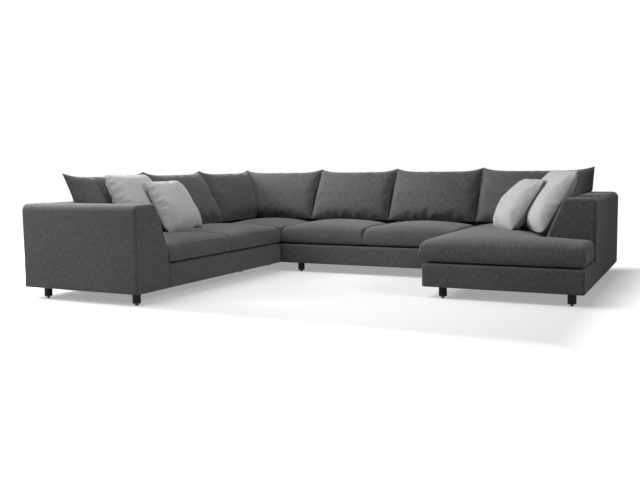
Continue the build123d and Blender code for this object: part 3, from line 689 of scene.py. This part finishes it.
def base_rail(name, corners, radius, deck):
    """A base: the rail's upright profile carried round the plan, closed by the seat deck.

    The profile goes from the fold below, up the face and over a quarter-round edge; a point is
    the plan line moved out by the profile's reach, at the profile's height.
    """
    line, outward = rounded_path(corners, radius, mesh_step)
    quarter = np.linspace(0, math.pi / 2, edge_points)[1:]
    inset, rise = 1 - np.sin(quarter), 1 - np.cos(quarter)
    face = np.linspace(casing_bottom + hem_radius, deck_height - deck_edge_radius, arc_points)[1:]
    profile = np.concatenate([
        [(-hem_return, casing_bottom), (-hem_radius, casing_bottom)],
        np.stack([-hem_radius * inset, casing_bottom + hem_radius * rise], 1),
        np.stack([np.zeros(len(face)), face], 1),
        np.stack([-deck_edge_radius * rise, deck_height - deck_edge_radius * inset], 1),
        [(-deck_fold, deck_height)],
    ])
    plan = line[None] + outward[None] * profile[:, None, :1]
    height = np.broadcast_to(profile[:, None, 1:], (*plan.shape[:2], 1))
    points = np.concatenate([plan, height], 2)
    cloth = np.stack(np.broadcast_arrays(run_length(line)[None, :], run_length(profile)[:, None]), 2)
    mesh = mesh_from_patches(name, [(points, cloth, None)])
    closing = bmesh.new()
    closing.from_mesh(mesh)
    layer = closing.loops.layers.uv["threads"]
    rim = [closing.verts.new((*place, deck_height)) for place in deck]
    ring = [closing.verts.new(place) for place in points[-1].tolist()]
    for loop in closing.faces.new(ring + rim).loops:
        loop[layer].uv = loop.vert.co.xy
    bmesh.ops.remove_doubles(closing, verts=closing.verts, dist=deck_merge)
    bmesh.ops.recalc_face_normals(closing, faces=closing.faces)
    if not any(side.normal.z > flat_share for side in closing.faces):
        bmesh.ops.reverse_faces(closing, faces=closing.faces)
    closing.to_mesh(mesh)
    closing.free()
    mesh.polygons.foreach_set("use_smooth", [len(polygon.vertices) == 4 for polygon in mesh.polygons])
    sewn_over(name, mesh)


def plan_corners(cover):
    """A CAD cover's corners in plan: near left, near right, far right, far left."""
    low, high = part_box(cover)
    return (low.x, low.y), (high.x, low.y), (high.x, high.y), (low.x, high.y)


near_left, near_right, far_right, far_left = plan_corners("left_base_cover")
base_rail("left_base", [near_right, far_right, far_left], joint_corner_radius, [near_left])
near_left, near_right, far_right, far_left = plan_corners("corner_base_cover")
base_rail("corner_base", [near_left, near_right, far_right], joint_corner_radius, [far_left])
near_left, near_right, far_right, far_left = plan_corners("centre_base_cover")
base_rail("centre_base", [far_left, near_left, near_right, far_right], joint_corner_radius, [])
near_left, near_right, far_right, far_left = plan_corners("chaise_base_cover")
arm_inner_x = chaise_high.x - casing_foot
base_rail(
    "chaise_base", [far_left, near_left, near_right, (near_right[0], chaise_low.y)],
    base_corner_radius, [(arm_inner_x, chaise_low.y), (arm_inner_x, far_right[1])],
)

# Seat cushions
# Loose cushions: a foam core wrapped in wadding in a boxed cover. They are full in the middle,
# fall softly over the front and dip to their side seams.
seat_draw = 0.007
seat_edge_height = 0.150
seat_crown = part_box("centre_seat_1_cover")[1].z - deck_height - seat_edge_height
front_roll = 0.110
front_drop = 0.045
side_roll = 0.040
side_drop = 0.023
rear_roll = 0.050
rear_drop = 0.040
foot_roll = 0.075
foot_drop = 0.020
crown_run = 0.150
crown_rear_start = 0.120
crown_front_start = 0.040
give_height = 0.0014
give_sink = 0.0010
ripple_height = 0.0009
ripple_place = 0.050
chaise_arm_gap = 0.044
edge_closeness = 0.86
band_rows = 9
out_of_reach = 9.0
seat_merge = 0.0004


def fall(distance, roll, drop, power=2.3):
    """How much lower the top is near an edge: drop * (1 - (1 - (1 - d/r)^p)^(1/p)) for d < r."""
    share = np.clip(1 - distance / roll, 0, 1)
    return drop * (1 - (1 - share**power) ** (1 / power))


def swell(distance):
    """How far the crown has risen at a distance from an edge: 1 - exp(-(d/run)^1.3)."""
    return 1 - np.exp(-((np.maximum(distance, 0) / crown_run) ** 1.3))


def clustered(start, end):
    """Places from start to end, closer together near both ends, at t - 0.86 sin(2 pi t) / (2 pi)."""
    length = end - start
    share = np.linspace(0, 1, int(length / mesh_step) + 8)
    return start + length * (share - np.sin(full_turn * share) / full_turn * edge_closeness)


def seat_distances(x, y, seat):
    """Distances to the left, right, rear and front edges and to the arm's corner in an L."""
    left, right, rear, front = seat["plan"]
    corner = seat["notch"]
    arm = np.full(x.shape, out_of_reach)
    if corner is not None:
        arm = np.hypot(np.maximum(corner[0] - x, 0), np.maximum(corner[1] - y, 0))
    return x - left, right - x, rear - y, y - front, arm


def seat_top(x, y, seat):
    """Height of a seat cushion's top above the deck.

    The boxed edge plus the crown, which rises with the distance from every edge, less the
    falls over the front, sides and rear, less slow shallow dips where the cover has given.
    """
    to_left, to_right, to_rear, to_front, to_arm = seat_distances(x, y, seat)
    crown = swell(to_left) * swell(to_right) * swell(to_rear + crown_rear_start)
    crown = crown * swell(to_front + crown_front_start) * swell(to_arm)
    top = seat_edge_height + seat_crown * crown / crown.max()
    front_fall = (front_roll, front_drop) if seat["waterfall"] else (side_roll, side_drop)
    top = top - fall(to_front, *front_fall)
    for distance in (to_left, to_right, to_arm):
        top = top - fall(distance, side_roll, side_drop)
    top = top - fall(to_rear, rear_roll, rear_drop)
    phase = seat["phase"]
    give = np.sin(9.1 * x + 5.3 * y + phase) * np.sin(4.7 * y - 7.9 * x + 2 * phase)
    ripple = np.sin(61 * x + 6 * np.sin(11 * y + phase) + phase)
    ripple = ripple * np.exp(-((to_front / ripple_place - 1) ** 2))
    return top + give_height * give - give_sink + ripple_height * ripple


def inner_plan(seat):
    """A seat's plan inside its drawn-in edge: left, right, rear, front."""
    left, right, rear, front = seat["plan"]
    return left + seat_draw, right - seat_draw, rear - seat_draw, front + seat_draw


def seat_mesh(name, seat):
    """A boxed cushion: a top sheet and a bottom sheet on one plan grid, joined by a band.

    The plan grid is closer near the edges; in an L the cells behind the arm's corner are left
    out. The band runs round the edge from the top sheet to the bottom one and bulges out by
    draw * sin(pi t)^0.7, so the cushion fills its place at half height.
    """
    left, right, rear, front = inner_plan(seat)
    corner = seat["notch"] and (seat["notch"][0] - seat_draw, seat["notch"][1] - seat_draw)
    columns = clustered(left, corner[0] if corner else right)
    rows = clustered(front, corner[1] if corner else rear)
    across, up = len(columns) - 1, len(rows) - 1
    if corner:
        columns = np.concatenate([columns, clustered(corner[0], right)[1:]])
        rows = np.concatenate([rows, clustered(corner[1], rear)[1:]])
    last, end = len(columns) - 1, len(rows) - 1
    x, y = np.meshgrid(columns, rows)
    inside = {**seat, "plan": inner_plan(seat), "notch": corner}
    nearest = np.minimum.reduce([np.abs(distance) for distance in seat_distances(x, y, inside)])
    heights = (seat_top(x, y, inside), fall(nearest, foot_roll, foot_drop, 1.1))
    sheets = [np.stack([x, y, height + deck_height], 2) for height in heights]
    loop = [(0, i) for i in range(last)] + [(j, last) for j in range(up)]
    loop += [(up, i) for i in range(last, across, -1)] + [(j, across) for j in range(up, end)]
    loop += [(end, i) for i in range(across, 0, -1)] + [(j, 0) for j in range(end, 0, -1)]
    loop = np.array(loop)
    upper, lower = (sheet[loop[:, 0], loop[:, 1]] for sheet in sheets)
    ahead = np.roll(upper, -1, axis=0) - np.roll(upper, 1, axis=0)
    outward = unit(np.stack([ahead[:, 1], -ahead[:, 0], np.zeros(len(ahead))], 1))
    share = np.linspace(0, 1, band_rows)[:, None, None]
    band = upper + (lower - upper) * share + outward * seat_draw * np.sin(math.pi * share) ** 0.7
    around = run_length(upper)
    threads = np.stack(np.broadcast_arrays(around[None, :], band[..., 2]), 2)
    patches = [(band, threads, around[-1] + np.linalg.norm(upper[0] - upper[-1]))]
    parts = [(slice(0, up + 1), slice(None)), (slice(up, None), slice(0, across + 1))]
    for points in sheets:
        for part in parts if corner else parts[:1]:
            patches.append((points[part], points[part][..., :2], None))
    return mesh_from_patches(name, patches, merge=seat_merge)


def seat_cushion(name, phase, turned, notch):
    """Makes a seat cushion in its CAD cover's place; a turned one faces right, not forward."""
    cover = name + "_cover"
    low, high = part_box(cover)
    plan = (low.y, high.y, -low.x, -high.x) if turned else (low.x, high.x, high.y, low.y)
    seat = {"plan": plan, "notch": notch, "phase": phase, "turned": turned}
    seat["waterfall"] = name != "corner_seat"
    mesh = seat_mesh(name + "_cushion", seat)
    if turned:
        mesh.transform(Matrix.Rotation(math.pi / 2, 4, "Z"))
    piece = add_piece(name + "_cushion", mesh, name, upholstery)
    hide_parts(cover)
    return seat


seats = {}
for name, phase, turned, notch in (
    ("left_seat_1", 0.4, True, None),
    ("left_seat_2", 1.9, True, None),
    ("corner_seat", 3.1, False, None),
    ("centre_seat_1", 4.4, False, None),
    ("centre_seat_2", 5.2, False, None),
    ("chaise_seat", 2.5, False, (arm_inner_x, chaise_low.y - chaise_arm_gap)),
):
    seats[name] = seat_cushion(name, phase, turned, notch)

# Back cushions
# Loose cushions with a fibre filling in a two-piece case, sewn edge to edge with a fine cord. The
# filling swells the middle, draws the sides in and leaves a pointed ear at each corner.
case_mesh_step = 0.0155
case_loft = 0.009
case_stiffness = 12.0
case_slack_share = 1 / 12
filling_frames = 26
filled_share = 0.22
pucker_reach = 0.038
pucker_start = 0.012
side_pucker_pitch = 0.0075
end_pucker_pitch = 0.0080
soft_clearance = 0.0008
mound_share = 0.4
seat_edge_margin = 0.02
cushion_lean = math.radians(28.5)
cushion_height = 0.505
cushion_foot_y = rear_plane - 0.3976
cushion_foot_z = 0.411
back_form = {
    "depth": 0.195, "slump": 0.06, "side_draw": 0.0, "top_draw": 0.07, "foot_draw": 0.0,
    "ear_power": 5.0, "roundness": 1.9, "pucker": 0.0022,
}
left_arm_overlap = 0.105
chaise_arm_overlap = 0.172
corner_gap = 0.150
seam_loops = {}


def flat_case(node, width, height):
    """A sewn case laid flat: its object, and the places of its two sheets, which share their edge.

    The sheets are apart by y = -+ 9 mm * sin(pi u) sin(pi v), a little unevenly. The thread
    coordinates are the flat case's own width and height.
    """
    columns = int(width / case_mesh_step) + 2
    rows = int(height / case_mesh_step) + 2
    front = np.arange(rows * columns).reshape(rows, columns)
    back = front.copy()
    back[1:-1, 1:-1] = front.size + np.arange((rows - 2) * (columns - 2)).reshape(rows - 2, -1)
    u, v = np.meshgrid(np.linspace(0, 1, columns), np.linspace(0, 1, rows))
    loft = case_loft * np.sin(math.pi * u) * np.sin(math.pi * v)
    loft = loft * (1 + 0.10 * np.sin(17 * u + 3 * v) * np.sin(13 * v - 4 * u))
    points = np.zeros((back.max() + 1, 3))
    for sheet, y in ((back, loft), (front, -loft)):
        points[sheet.ravel()] = np.stack([(u - 0.5) * width, y, v * height], 2).reshape(-1, 3)
    quads = np.concatenate([cells(front), cells(back)[:, ::-1]])
    edge = np.concatenate([front[0, :-1], front[:-1, -1], front[-1, :0:-1], front[:0:-1, 0]])
    seam_loops[node] = edge
    mesh = threaded_mesh(node + "_case", points, quads, points[quads.ravel()][:, [0, 2]])
    ends = np.zeros(len(mesh.edges) * 2, np.int32)
    mesh.edges.foreach_get("vertices", ends)
    on_seam = np.isin(ends.reshape(-1, 2), edge).all(axis=1)
    crease = mesh.attributes.new("crease_edge", "FLOAT", "EDGE")
    crease.data.foreach_set("value", on_seam.astype(np.float32))
    case = bpy.data.objects.new(node + "_case", mesh)
    scene.collection.objects.link(case)
    return case, points


def move_vertices(piece, places):
    """Sets a piece's vertices to places."""
    piece.data.vertices.foreach_set("co", places.astype(np.float32).ravel())
    piece.data.update()


def vertex_places(piece):
    """A piece's vertex places after its modifiers, as an array."""
    source = piece.evaluated_get(bpy.context.evaluated_depsgraph_get())
    mesh = source.to_mesh()
    places = np.zeros(len(mesh.vertices) * 3, np.float32)
    mesh.vertices.foreach_get("co", places)
    source.to_mesh_clear()
    return places.reshape(-1, 3).astype(float)


def filled_shapes(cases, bending, pressure):
    """Flat cases filled by cloth simulation: a pressure inside, no gravity, all in one run.
    """
    shapes = {}
    for case, flat in cases.values():
        filling = case.modifiers.new("filling", "CLOTH")
        settings = filling.settings
        settings.quality = 5
        settings.mass = 0.3
        settings.tension_stiffness = case_stiffness
        settings.compression_stiffness = case_stiffness * case_slack_share
        settings.shear_stiffness = case_stiffness * case_slack_share
        settings.bending_stiffness = bending
        settings.use_pressure = True
        settings.uniform_pressure_force = pressure
        settings.effector_weights.gravity = 0
        filling.collision_settings.use_self_collision = False
        filling.point_cache.frame_start = 1
        filling.point_cache.frame_end = filling_frames
    for frame_number in range(1, filling_frames + 1):
        scene.frame_set(frame_number)
    for node, (case, flat) in cases.items():
        shapes[node] = vertex_places(case)
        case.modifiers.clear()
    scene.frame_set(1)
    return shapes


def settled(flat, filled, phase, depth, slump, side_draw, top_draw, foot_draw, ear_power, roundness, pucker):
    """A filled case brought to its size and settled.

    Its four seams go to where the neighbours hold them: drawn in between the ears by
    draw * (1 - |2u - 1|^p) of the width or height, and what lies between two seams keeps its
    share of the way. Its thickness is part the filled one and part the round one,
    T sqrt((1 - |a|^p)(1 - |b|^2)) for a and b from -1 to 1 across and up, and is fuller low
    down, by slump * cos(pi v). Small puckers run in from the seams: their height falls as
    exp(-d/38 mm), d the distance to the seam, and waves along it.
    """
    width, height = np.ptp(flat[:, 0]), np.ptp(flat[:, 2])
    u, v = flat[:, 0] / width + 0.5, flat[:, 2] / height
    shape = filled.copy()

    def seam(edge, share, axis):
        order = np.flatnonzero(edge)
        order = order[np.argsort(share[order], kind="stable")]
        return np.interp(share, share[order], filled[order, axis])

    def folds(to_seam, wave):
        return np.exp(-to_seam / pucker_reach) * wave * np.clip(to_seam / pucker_start, 0, 1)

    left, right = seam(u < 0.0001, v, 0), seam(u > 0.9999, v, 0)
    foot, top = seam(v < 0.0001, u, 2), seam(v > 0.9999, u, 2)
    arc_v = 1 - np.abs(2 * v - 1) ** ear_power
    arc_u = 1 - np.abs(2 * u - 1) ** ear_power
    half = width / 2 * (1 - side_draw * arc_v)
    shape[:, 0] = -half + 2 * half * (filled[:, 0] - left) / (right - left)
    low, high = height * foot_draw * arc_u, height * (1 - top_draw * arc_u)
    shape[:, 2] = low + (high - low) * (filled[:, 2] - foot) / (top - foot)
    across = filled[:, 1] / np.abs(filled[:, 1]).max()
    rounded = (1 - np.abs(2 * u - 1) ** roundness) * (1 - np.abs(2 * v - 1) ** 2)
    rounded = np.sign(across) * np.sqrt(np.clip(rounded, 0, 1))
    across = filled_share * across + (1 - filled_share) * rounded
    side_wave = np.sin(v * height / side_pucker_pitch + 2.2 * np.sin(9 * v + phase) + phase)
    end_wave = np.sin(u * width / end_pucker_pitch + 2.4 * np.sin(8 * u + phase) - phase)
    waves = folds(np.minimum(u, 1 - u) * width, side_wave)
    waves = waves + folds(np.minimum(v, 1 - v) * height, end_wave)
    uneven = 0.55 + 0.45 * np.sin(5.1 * u + 3.7 * v + 2 * phase)
    shape[:, 1] = across * depth / 2 * (1 + slump * np.cos(math.pi * v))
    shape[:, 1] += np.sign(across) * pucker * waves * uneven
    return shape


def stood(shape, place, lean, turn):
    """Leans a shape back about its foot, turns it about the upright and moves it to a place."""
    turned = Matrix.Rotation(turn, 3, "Z") @ Matrix.Rotation(-lean, 3, "X")
    return shape @ np.array(turned).T + np.array(place)


def held_outside(points, distance, direction):
    """Moves points that are past a flat face back to it: by their distance past it, outward."""
    return points + np.maximum(distance, 0)[:, None] * np.array(direction, float)


# Each casing that cushions lean on: the axis across it, its outer plane, its inner side's
# direction, and the start and end of its length.
casing_walls = {
    "rear": (1, rear_plane, -1, -math.inf, math.inf),
    "left": (0, left_plane, 1, -math.inf, math.inf),
    "left_arm": (1, arm_low.y, 1, -math.inf, arm_high.x),
    "chaise_arm": (0, chaise_high.x, -1, chaise_low.y, math.inf),
}


def clear_of_casing(points, wall):
    """Keeps points off the slanted side of a casing, below its top and beside its length."""
    axis, outer, inward, start, end = casing_walls[wall]
    along = points[:, 1 - axis]
    beside = (points[:, 2] < casing_top) & (along > start) & (along < end)
    past = inward * (outer - points[:, axis]) + casing_width(points[:, 2]) + soft_clearance
    direction = np.zeros(3)
    direction[axis] = inward
    return held_outside(points, np.where(beside, past, 0), direction)


def clear_of_seats(points):
    """Keeps points above the seats' tops and, beside the seats, above part of their crown."""
    top = np.full(len(points), deck_height + seat_edge_height + mound_share * seat_crown)
    for seat in seats.values():
        x, y = points[:, 0], points[:, 1]
        if seat["turned"]:
            x, y = y, -x
        left, right, rear, front = seat["plan"]
        over = (x > left) & (x < right) & (y < rear) & (y > front)
        left, right, rear, front = inner_plan(seat)
        inside_x = np.clip(x, left + seat_edge_margin, right - seat_edge_margin)
        inside_y = np.clip(y, front + seat_edge_margin, rear - seat_edge_margin)
        height = seat_top(inside_x, inside_y, {**seat, "plan": inner_plan(seat)})
        top = np.where(over, deck_height + height, top)
    return held_outside(points, top + soft_clearance - points[:, 2], (0, 0, 1))


def finish_case(node, case, points, finish, radius):
    """Finishes a filled case in its place as a piece, with the cord sewn round it."""
    move_vertices(case, points)
    case.data.materials.append(finish)
    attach(case, node)
    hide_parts(node)
    finer = case.modifiers.new("finer", "SUBSURF")
    finer.levels = 1
    finer.render_levels = 1
    loop = points[seam_loops[node]]
    seam_cord(node + "_seam", np.concatenate([loop, loop[:1]]), node, radius, finish)


# The casings that each back cushion touches, beginning with the one that it leans on.
back_walls = {
    "left_back_cushion_1": ("left", "left_arm"),
    "left_back_cushion_2": ("left",),
    "corner_side_back_cushion": ("left", "rear"),
    "corner_rear_back_cushion": ("rear", "left"),
    "centre_back_cushion_1": ("rear",),
    "centre_back_cushion_2": ("rear",),
    "chaise_back_cushion": ("rear", "chaise_arm"),
}
back_spans = {}
for node, walls in back_walls.items():
    low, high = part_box(node)
    back_spans[node] = [low.y, high.y] if walls[0] == "left" else [low.x, high.x]
back_spans["left_back_cushion_1"][0] = arm_low.y + casing_foot - left_arm_overlap
back_spans["chaise_back_cushion"][1] = arm_inner_x + chaise_arm_overlap
back_spans["corner_side_back_cushion"][1] = rear_plane - corner_gap
back_spans["corner_rear_back_cushion"][0] = left_plane + corner_gap

soft_cases = {}
for node, (start, end) in back_spans.items():
    soft_cases[node] = flat_case(node, end - start, cushion_height)
filled_backs = filled_shapes(soft_cases, 2.0, 1.5)

for order, (node, walls) in enumerate(back_walls.items()):
    case, flat = soft_cases[node]
    start, end = back_spans[node]
    middle = (start + end) / 2
    half = (end - start) / 2 - seam_cord_radius
    shape = settled(flat, filled_backs[node], 1.7 * order, **back_form)
    shape[:, 0] = np.clip(shape[:, 0], -half, half)
    if walls[0] == "left":
        foot = (left_plane + rear_plane - cushion_foot_y, middle, cushion_foot_z)
        points = stood(shape, foot, cushion_lean, math.pi / 2)
    else:
        points = stood(shape, (middle, cushion_foot_y, cushion_foot_z), cushion_lean, 0)
    for wall in walls:
        points = clear_of_casing(points, wall)
    if node.startswith("corner"):
        side = 1 if node.startswith("corner_rear") else -1
        mitre = (points[:, 0] + points[:, 1] - left_plane - rear_plane) / math.sqrt(2)
        direction = (side / math.sqrt(2), side / math.sqrt(2), 0)
        points = held_outside(points, soft_clearance - side * mitre, direction)
    points = clear_of_seats(points)
    finish_case(node, case, points, upholstery, seam_cord_radius)

# Pillows
# Loose square pillows with a fibre filling in a pale woven case, each leaning at an end of the
# sofa on the arm or cushion behind it.
pillow_foot_z = 0.409
pillow_cord_radius = 0.0018
pillow_corner_power = 10
pillow_form = {
    "depth": 0.190, "slump": 0.12, "side_draw": 0.02, "top_draw": 0.02, "foot_draw": 0.01,
    "ear_power": 2.5, "roundness": 2.4, "pucker": 0.0130,
}
pillow_cloth = woven_cloth(
    "pale_grey_weave", dark=(0.28, 0.277, 0.268), light=(0.52, 0.517, 0.505),
    slub_share=0.25, thread_pitch=0.0018, sheen=0.35, depth=0.0004,
)

# What each pillow leans on, its side, where its middle is in plan, to the right and to the rear
# of the backs' outer corner, and its turn and lean in degrees.
pillows = {
    "left_large_pillow": ("left_back_cushion_1", 0.500, (0.470, -2.190), 90, 30),
    "left_small_pillow": ("left_large_pillow", 0.440, (0.628, -1.985), 90, 30),
    "right_large_pillow": ("chaise_back_cushion", 0.500, (3.205, -1.074), -59, 31),
    "right_small_pillow": ("right_large_pillow", 0.440, (2.985, -1.010), -59, 34),
}
pillow_cases = {node: flat_case(node, row[1], row[1]) for node, row in pillows.items()}
filled_pillows = filled_shapes(pillow_cases, 1.5, 1.4)
soft_cases.update(pillow_cases)

for node, (support, side, (to_right, to_rear), turn, lean) in pillows.items():
    case, flat = soft_cases[node]
    turn, lean = math.radians(turn), math.radians(lean)
    shape = settled(flat, filled_pillows[node], 2.3 * side + turn, **pillow_form)
    a, b = 2 * flat[:, 0] / side, 2 * flat[:, 2] / side - 1
    square = (a**pillow_corner_power + b**pillow_corner_power) ** (1 / pillow_corner_power)
    rounding = np.maximum(np.abs(a), np.abs(b)) / np.maximum(square, 0.001)
    shape[:, 0] *= rounding
    shape[:, 2] = side / 2 + (shape[:, 2] - side / 2) * rounding
    run = side / 2 * math.sin(lean)
    foot_x = left_plane + to_right + run * math.sin(turn)
    foot_y = rear_plane + to_rear - run * math.cos(turn)
    points = stood(shape, (foot_x, foot_y, pillow_foot_z), lean, turn)
    if node == "right_large_pillow":
        points = clear_of_casing(points, "chaise_arm")
    move_vertices(case, clear_of_seats(points))
    press = case.modifiers.new("pressed", "SHRINKWRAP")
    press.wrap_mode = "OUTSIDE"
    press.wrap_method = "NEAREST_SURFACEPOINT"
    press.offset = soft_clearance
    press.target = soft_cases[support][0]
    bpy.context.view_layer.update()
    points = vertex_places(case)
    case.modifiers.clear()
    finish_case(node, case, points, pillow_cloth, pillow_cord_radius)

# Legs
# Turned hardwood, stained black under a satin lacquer, each with a black moulded glide below.
modules = ("left", "corner", "centre", "chaise")


def refinish(kind, finish, owners=modules):
    """Gives each owner's CAD node of one kind its finish."""
    for owner in owners:
        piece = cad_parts[f"{owner}_{kind}"]
        if not piece.material_slots:
            piece.data.materials.append(finish)
        for place in piece.material_slots:
            place.material = finish


leg_black, leg_tree, leg_place = new_finish("black_lacquered_wood")
leg_grain = noise_mask(leg_tree, mapped(leg_tree, leg_place, (90, 90, 9)), 1.0, 5.0)
leg_stain = stretched(leg_tree, leg_grain, 0.35, 0.7)
leg_tone = blended(leg_tree, leg_stain, (0.002, 0.002, 0.002), (0.005, 0.005, 0.005))
leg_rough = combined(leg_tree, "MULTIPLY_ADD", leg_grain, 0.15, 0.48)
leg_surface = coat(leg_tree, leg_tone, leg_rough, leg_grain, 0.25)
leg_surface["Specular IOR Level"].default_value = 0.18
refinish("legs", leg_black)

glide_black, glide_tree, glide_place = new_finish("black_moulded_nylon")
glide_speckle = noise_mask(glide_tree, glide_place, 900.0, 2.0)
glide_tone = blended(glide_tree, glide_speckle, (0.009, 0.009, 0.009), (0.022, 0.022, 0.023))
glide_rough = combined(glide_tree, "MULTIPLY_ADD", glide_speckle, 0.2, 0.42)
coat(glide_tree, glide_tone, glide_rough, glide_speckle, 0.2, 0.0002)
refinish("glides", glide_black)

# Frames
# Kiln-dried pine boards and plywood formers, glued and screwed, left bare inside the covers.
frame_wood, wood_tree, wood_place = new_finish("bare_pine")
wood_length = mapped(wood_tree, wood_place, (6, 6, 60))
wood_shape = {"Scale": 0.45, "Distortion": 7.0, "Detail": 3.0}
wood_rings = laid_on(wood_tree, wood_length, "ShaderNodeTexWave", **wood_shape)["Fac"]
wood_fibre = noise_mask(wood_tree, wood_length, 6.0, 5.0)
wood_mask = combined(wood_tree, "MULTIPLY", wood_rings, wood_fibre)
wood_tone = blended(wood_tree, wood_mask, (0.60, 0.43, 0.25), (0.40, 0.24, 0.11))
wood_rough = combined(wood_tree, "MULTIPLY_ADD", wood_fibre, 0.25, 0.55)
coat(wood_tree, wood_tone, wood_rough, wood_fibre, 0.3)
refinish("frame", frame_wood)

# Webbing
# Elastic straps in two crossing layers, woven with rubber threads, tacked over the frame under
# each seat.
webbing_weave, web_tree, web_place = new_finish("elastic_webbing_weave")
web_lines = []
for direction in ("X", "Y"):
    web_wave = shader(web_tree, "ShaderNodeTexWave", Scale=70.0)
    web_wave.bands_direction = direction
    web_tree.links.new(web_place, web_wave.inputs["Vector"])
    web_lines.append(web_wave.outputs["Fac"])
web_mask = combined(web_tree, "MULTIPLY", *web_lines)
web_tone = blended(web_tree, web_mask, (0.045, 0.045, 0.047), (0.17, 0.16, 0.15))
coat(web_tree, web_tone, 0.8, web_mask, depth=0.0005)
refinish("webbing", webbing_weave)

# Dust cloths
# Thin black bonded-fibre cloth stapled to the underside of each module.
dust_black, dust_tree, dust_place = new_finish("black_bonded_fibre")
dust_fibre = noise_mask(dust_tree, dust_place, 420.0, 6.0)
dust_mask = stretched(dust_tree, dust_fibre, 0.3, 0.7)
dust_tone = blended(dust_tree, dust_mask, (0.006, 0.006, 0.007), (0.035, 0.035, 0.036))
coat(dust_tree, dust_tone, 0.9, dust_fibre)
refinish("dust_cloth", dust_black)

# Hooks
# Pressed steel arms with a pin and steel eyes, zinc plated, screwed under the module joints.
hook_zinc, zinc_tree, zinc_place = new_finish("zinc_plated_steel")
zinc_spangle = laid_on(zinc_tree, zinc_place, "ShaderNodeTexVoronoi", Scale=160.0)["Distance"]
zinc_tone = blended(zinc_tree, zinc_spangle, (0.52, 0.53, 0.54), (0.68, 0.69, 0.70))
zinc_rough = combined(zinc_tree, "MULTIPLY_ADD", zinc_spangle, 0.2, 0.3)
coat(zinc_tree, zinc_tone, zinc_rough)["Metallic"].default_value = 1.0
refinish("hooks", hook_zinc)

# Foam cores
# Blocks of open-cell seat foam inside the seat cushions' covers.
seat_foam, foam_tree, foam_place = new_finish("open_cell_foam")
foam_pores = laid_on(foam_tree, foam_place, "ShaderNodeTexVoronoi", Scale=480.0)["Distance"]
foam_tone = blended(foam_tree, foam_pores, (0.42, 0.38, 0.27), (0.70, 0.66, 0.52))
coat(foam_tree, foam_tone, 0.9, foam_pores, depth=0.0006)
refinish("core", seat_foam, seats)
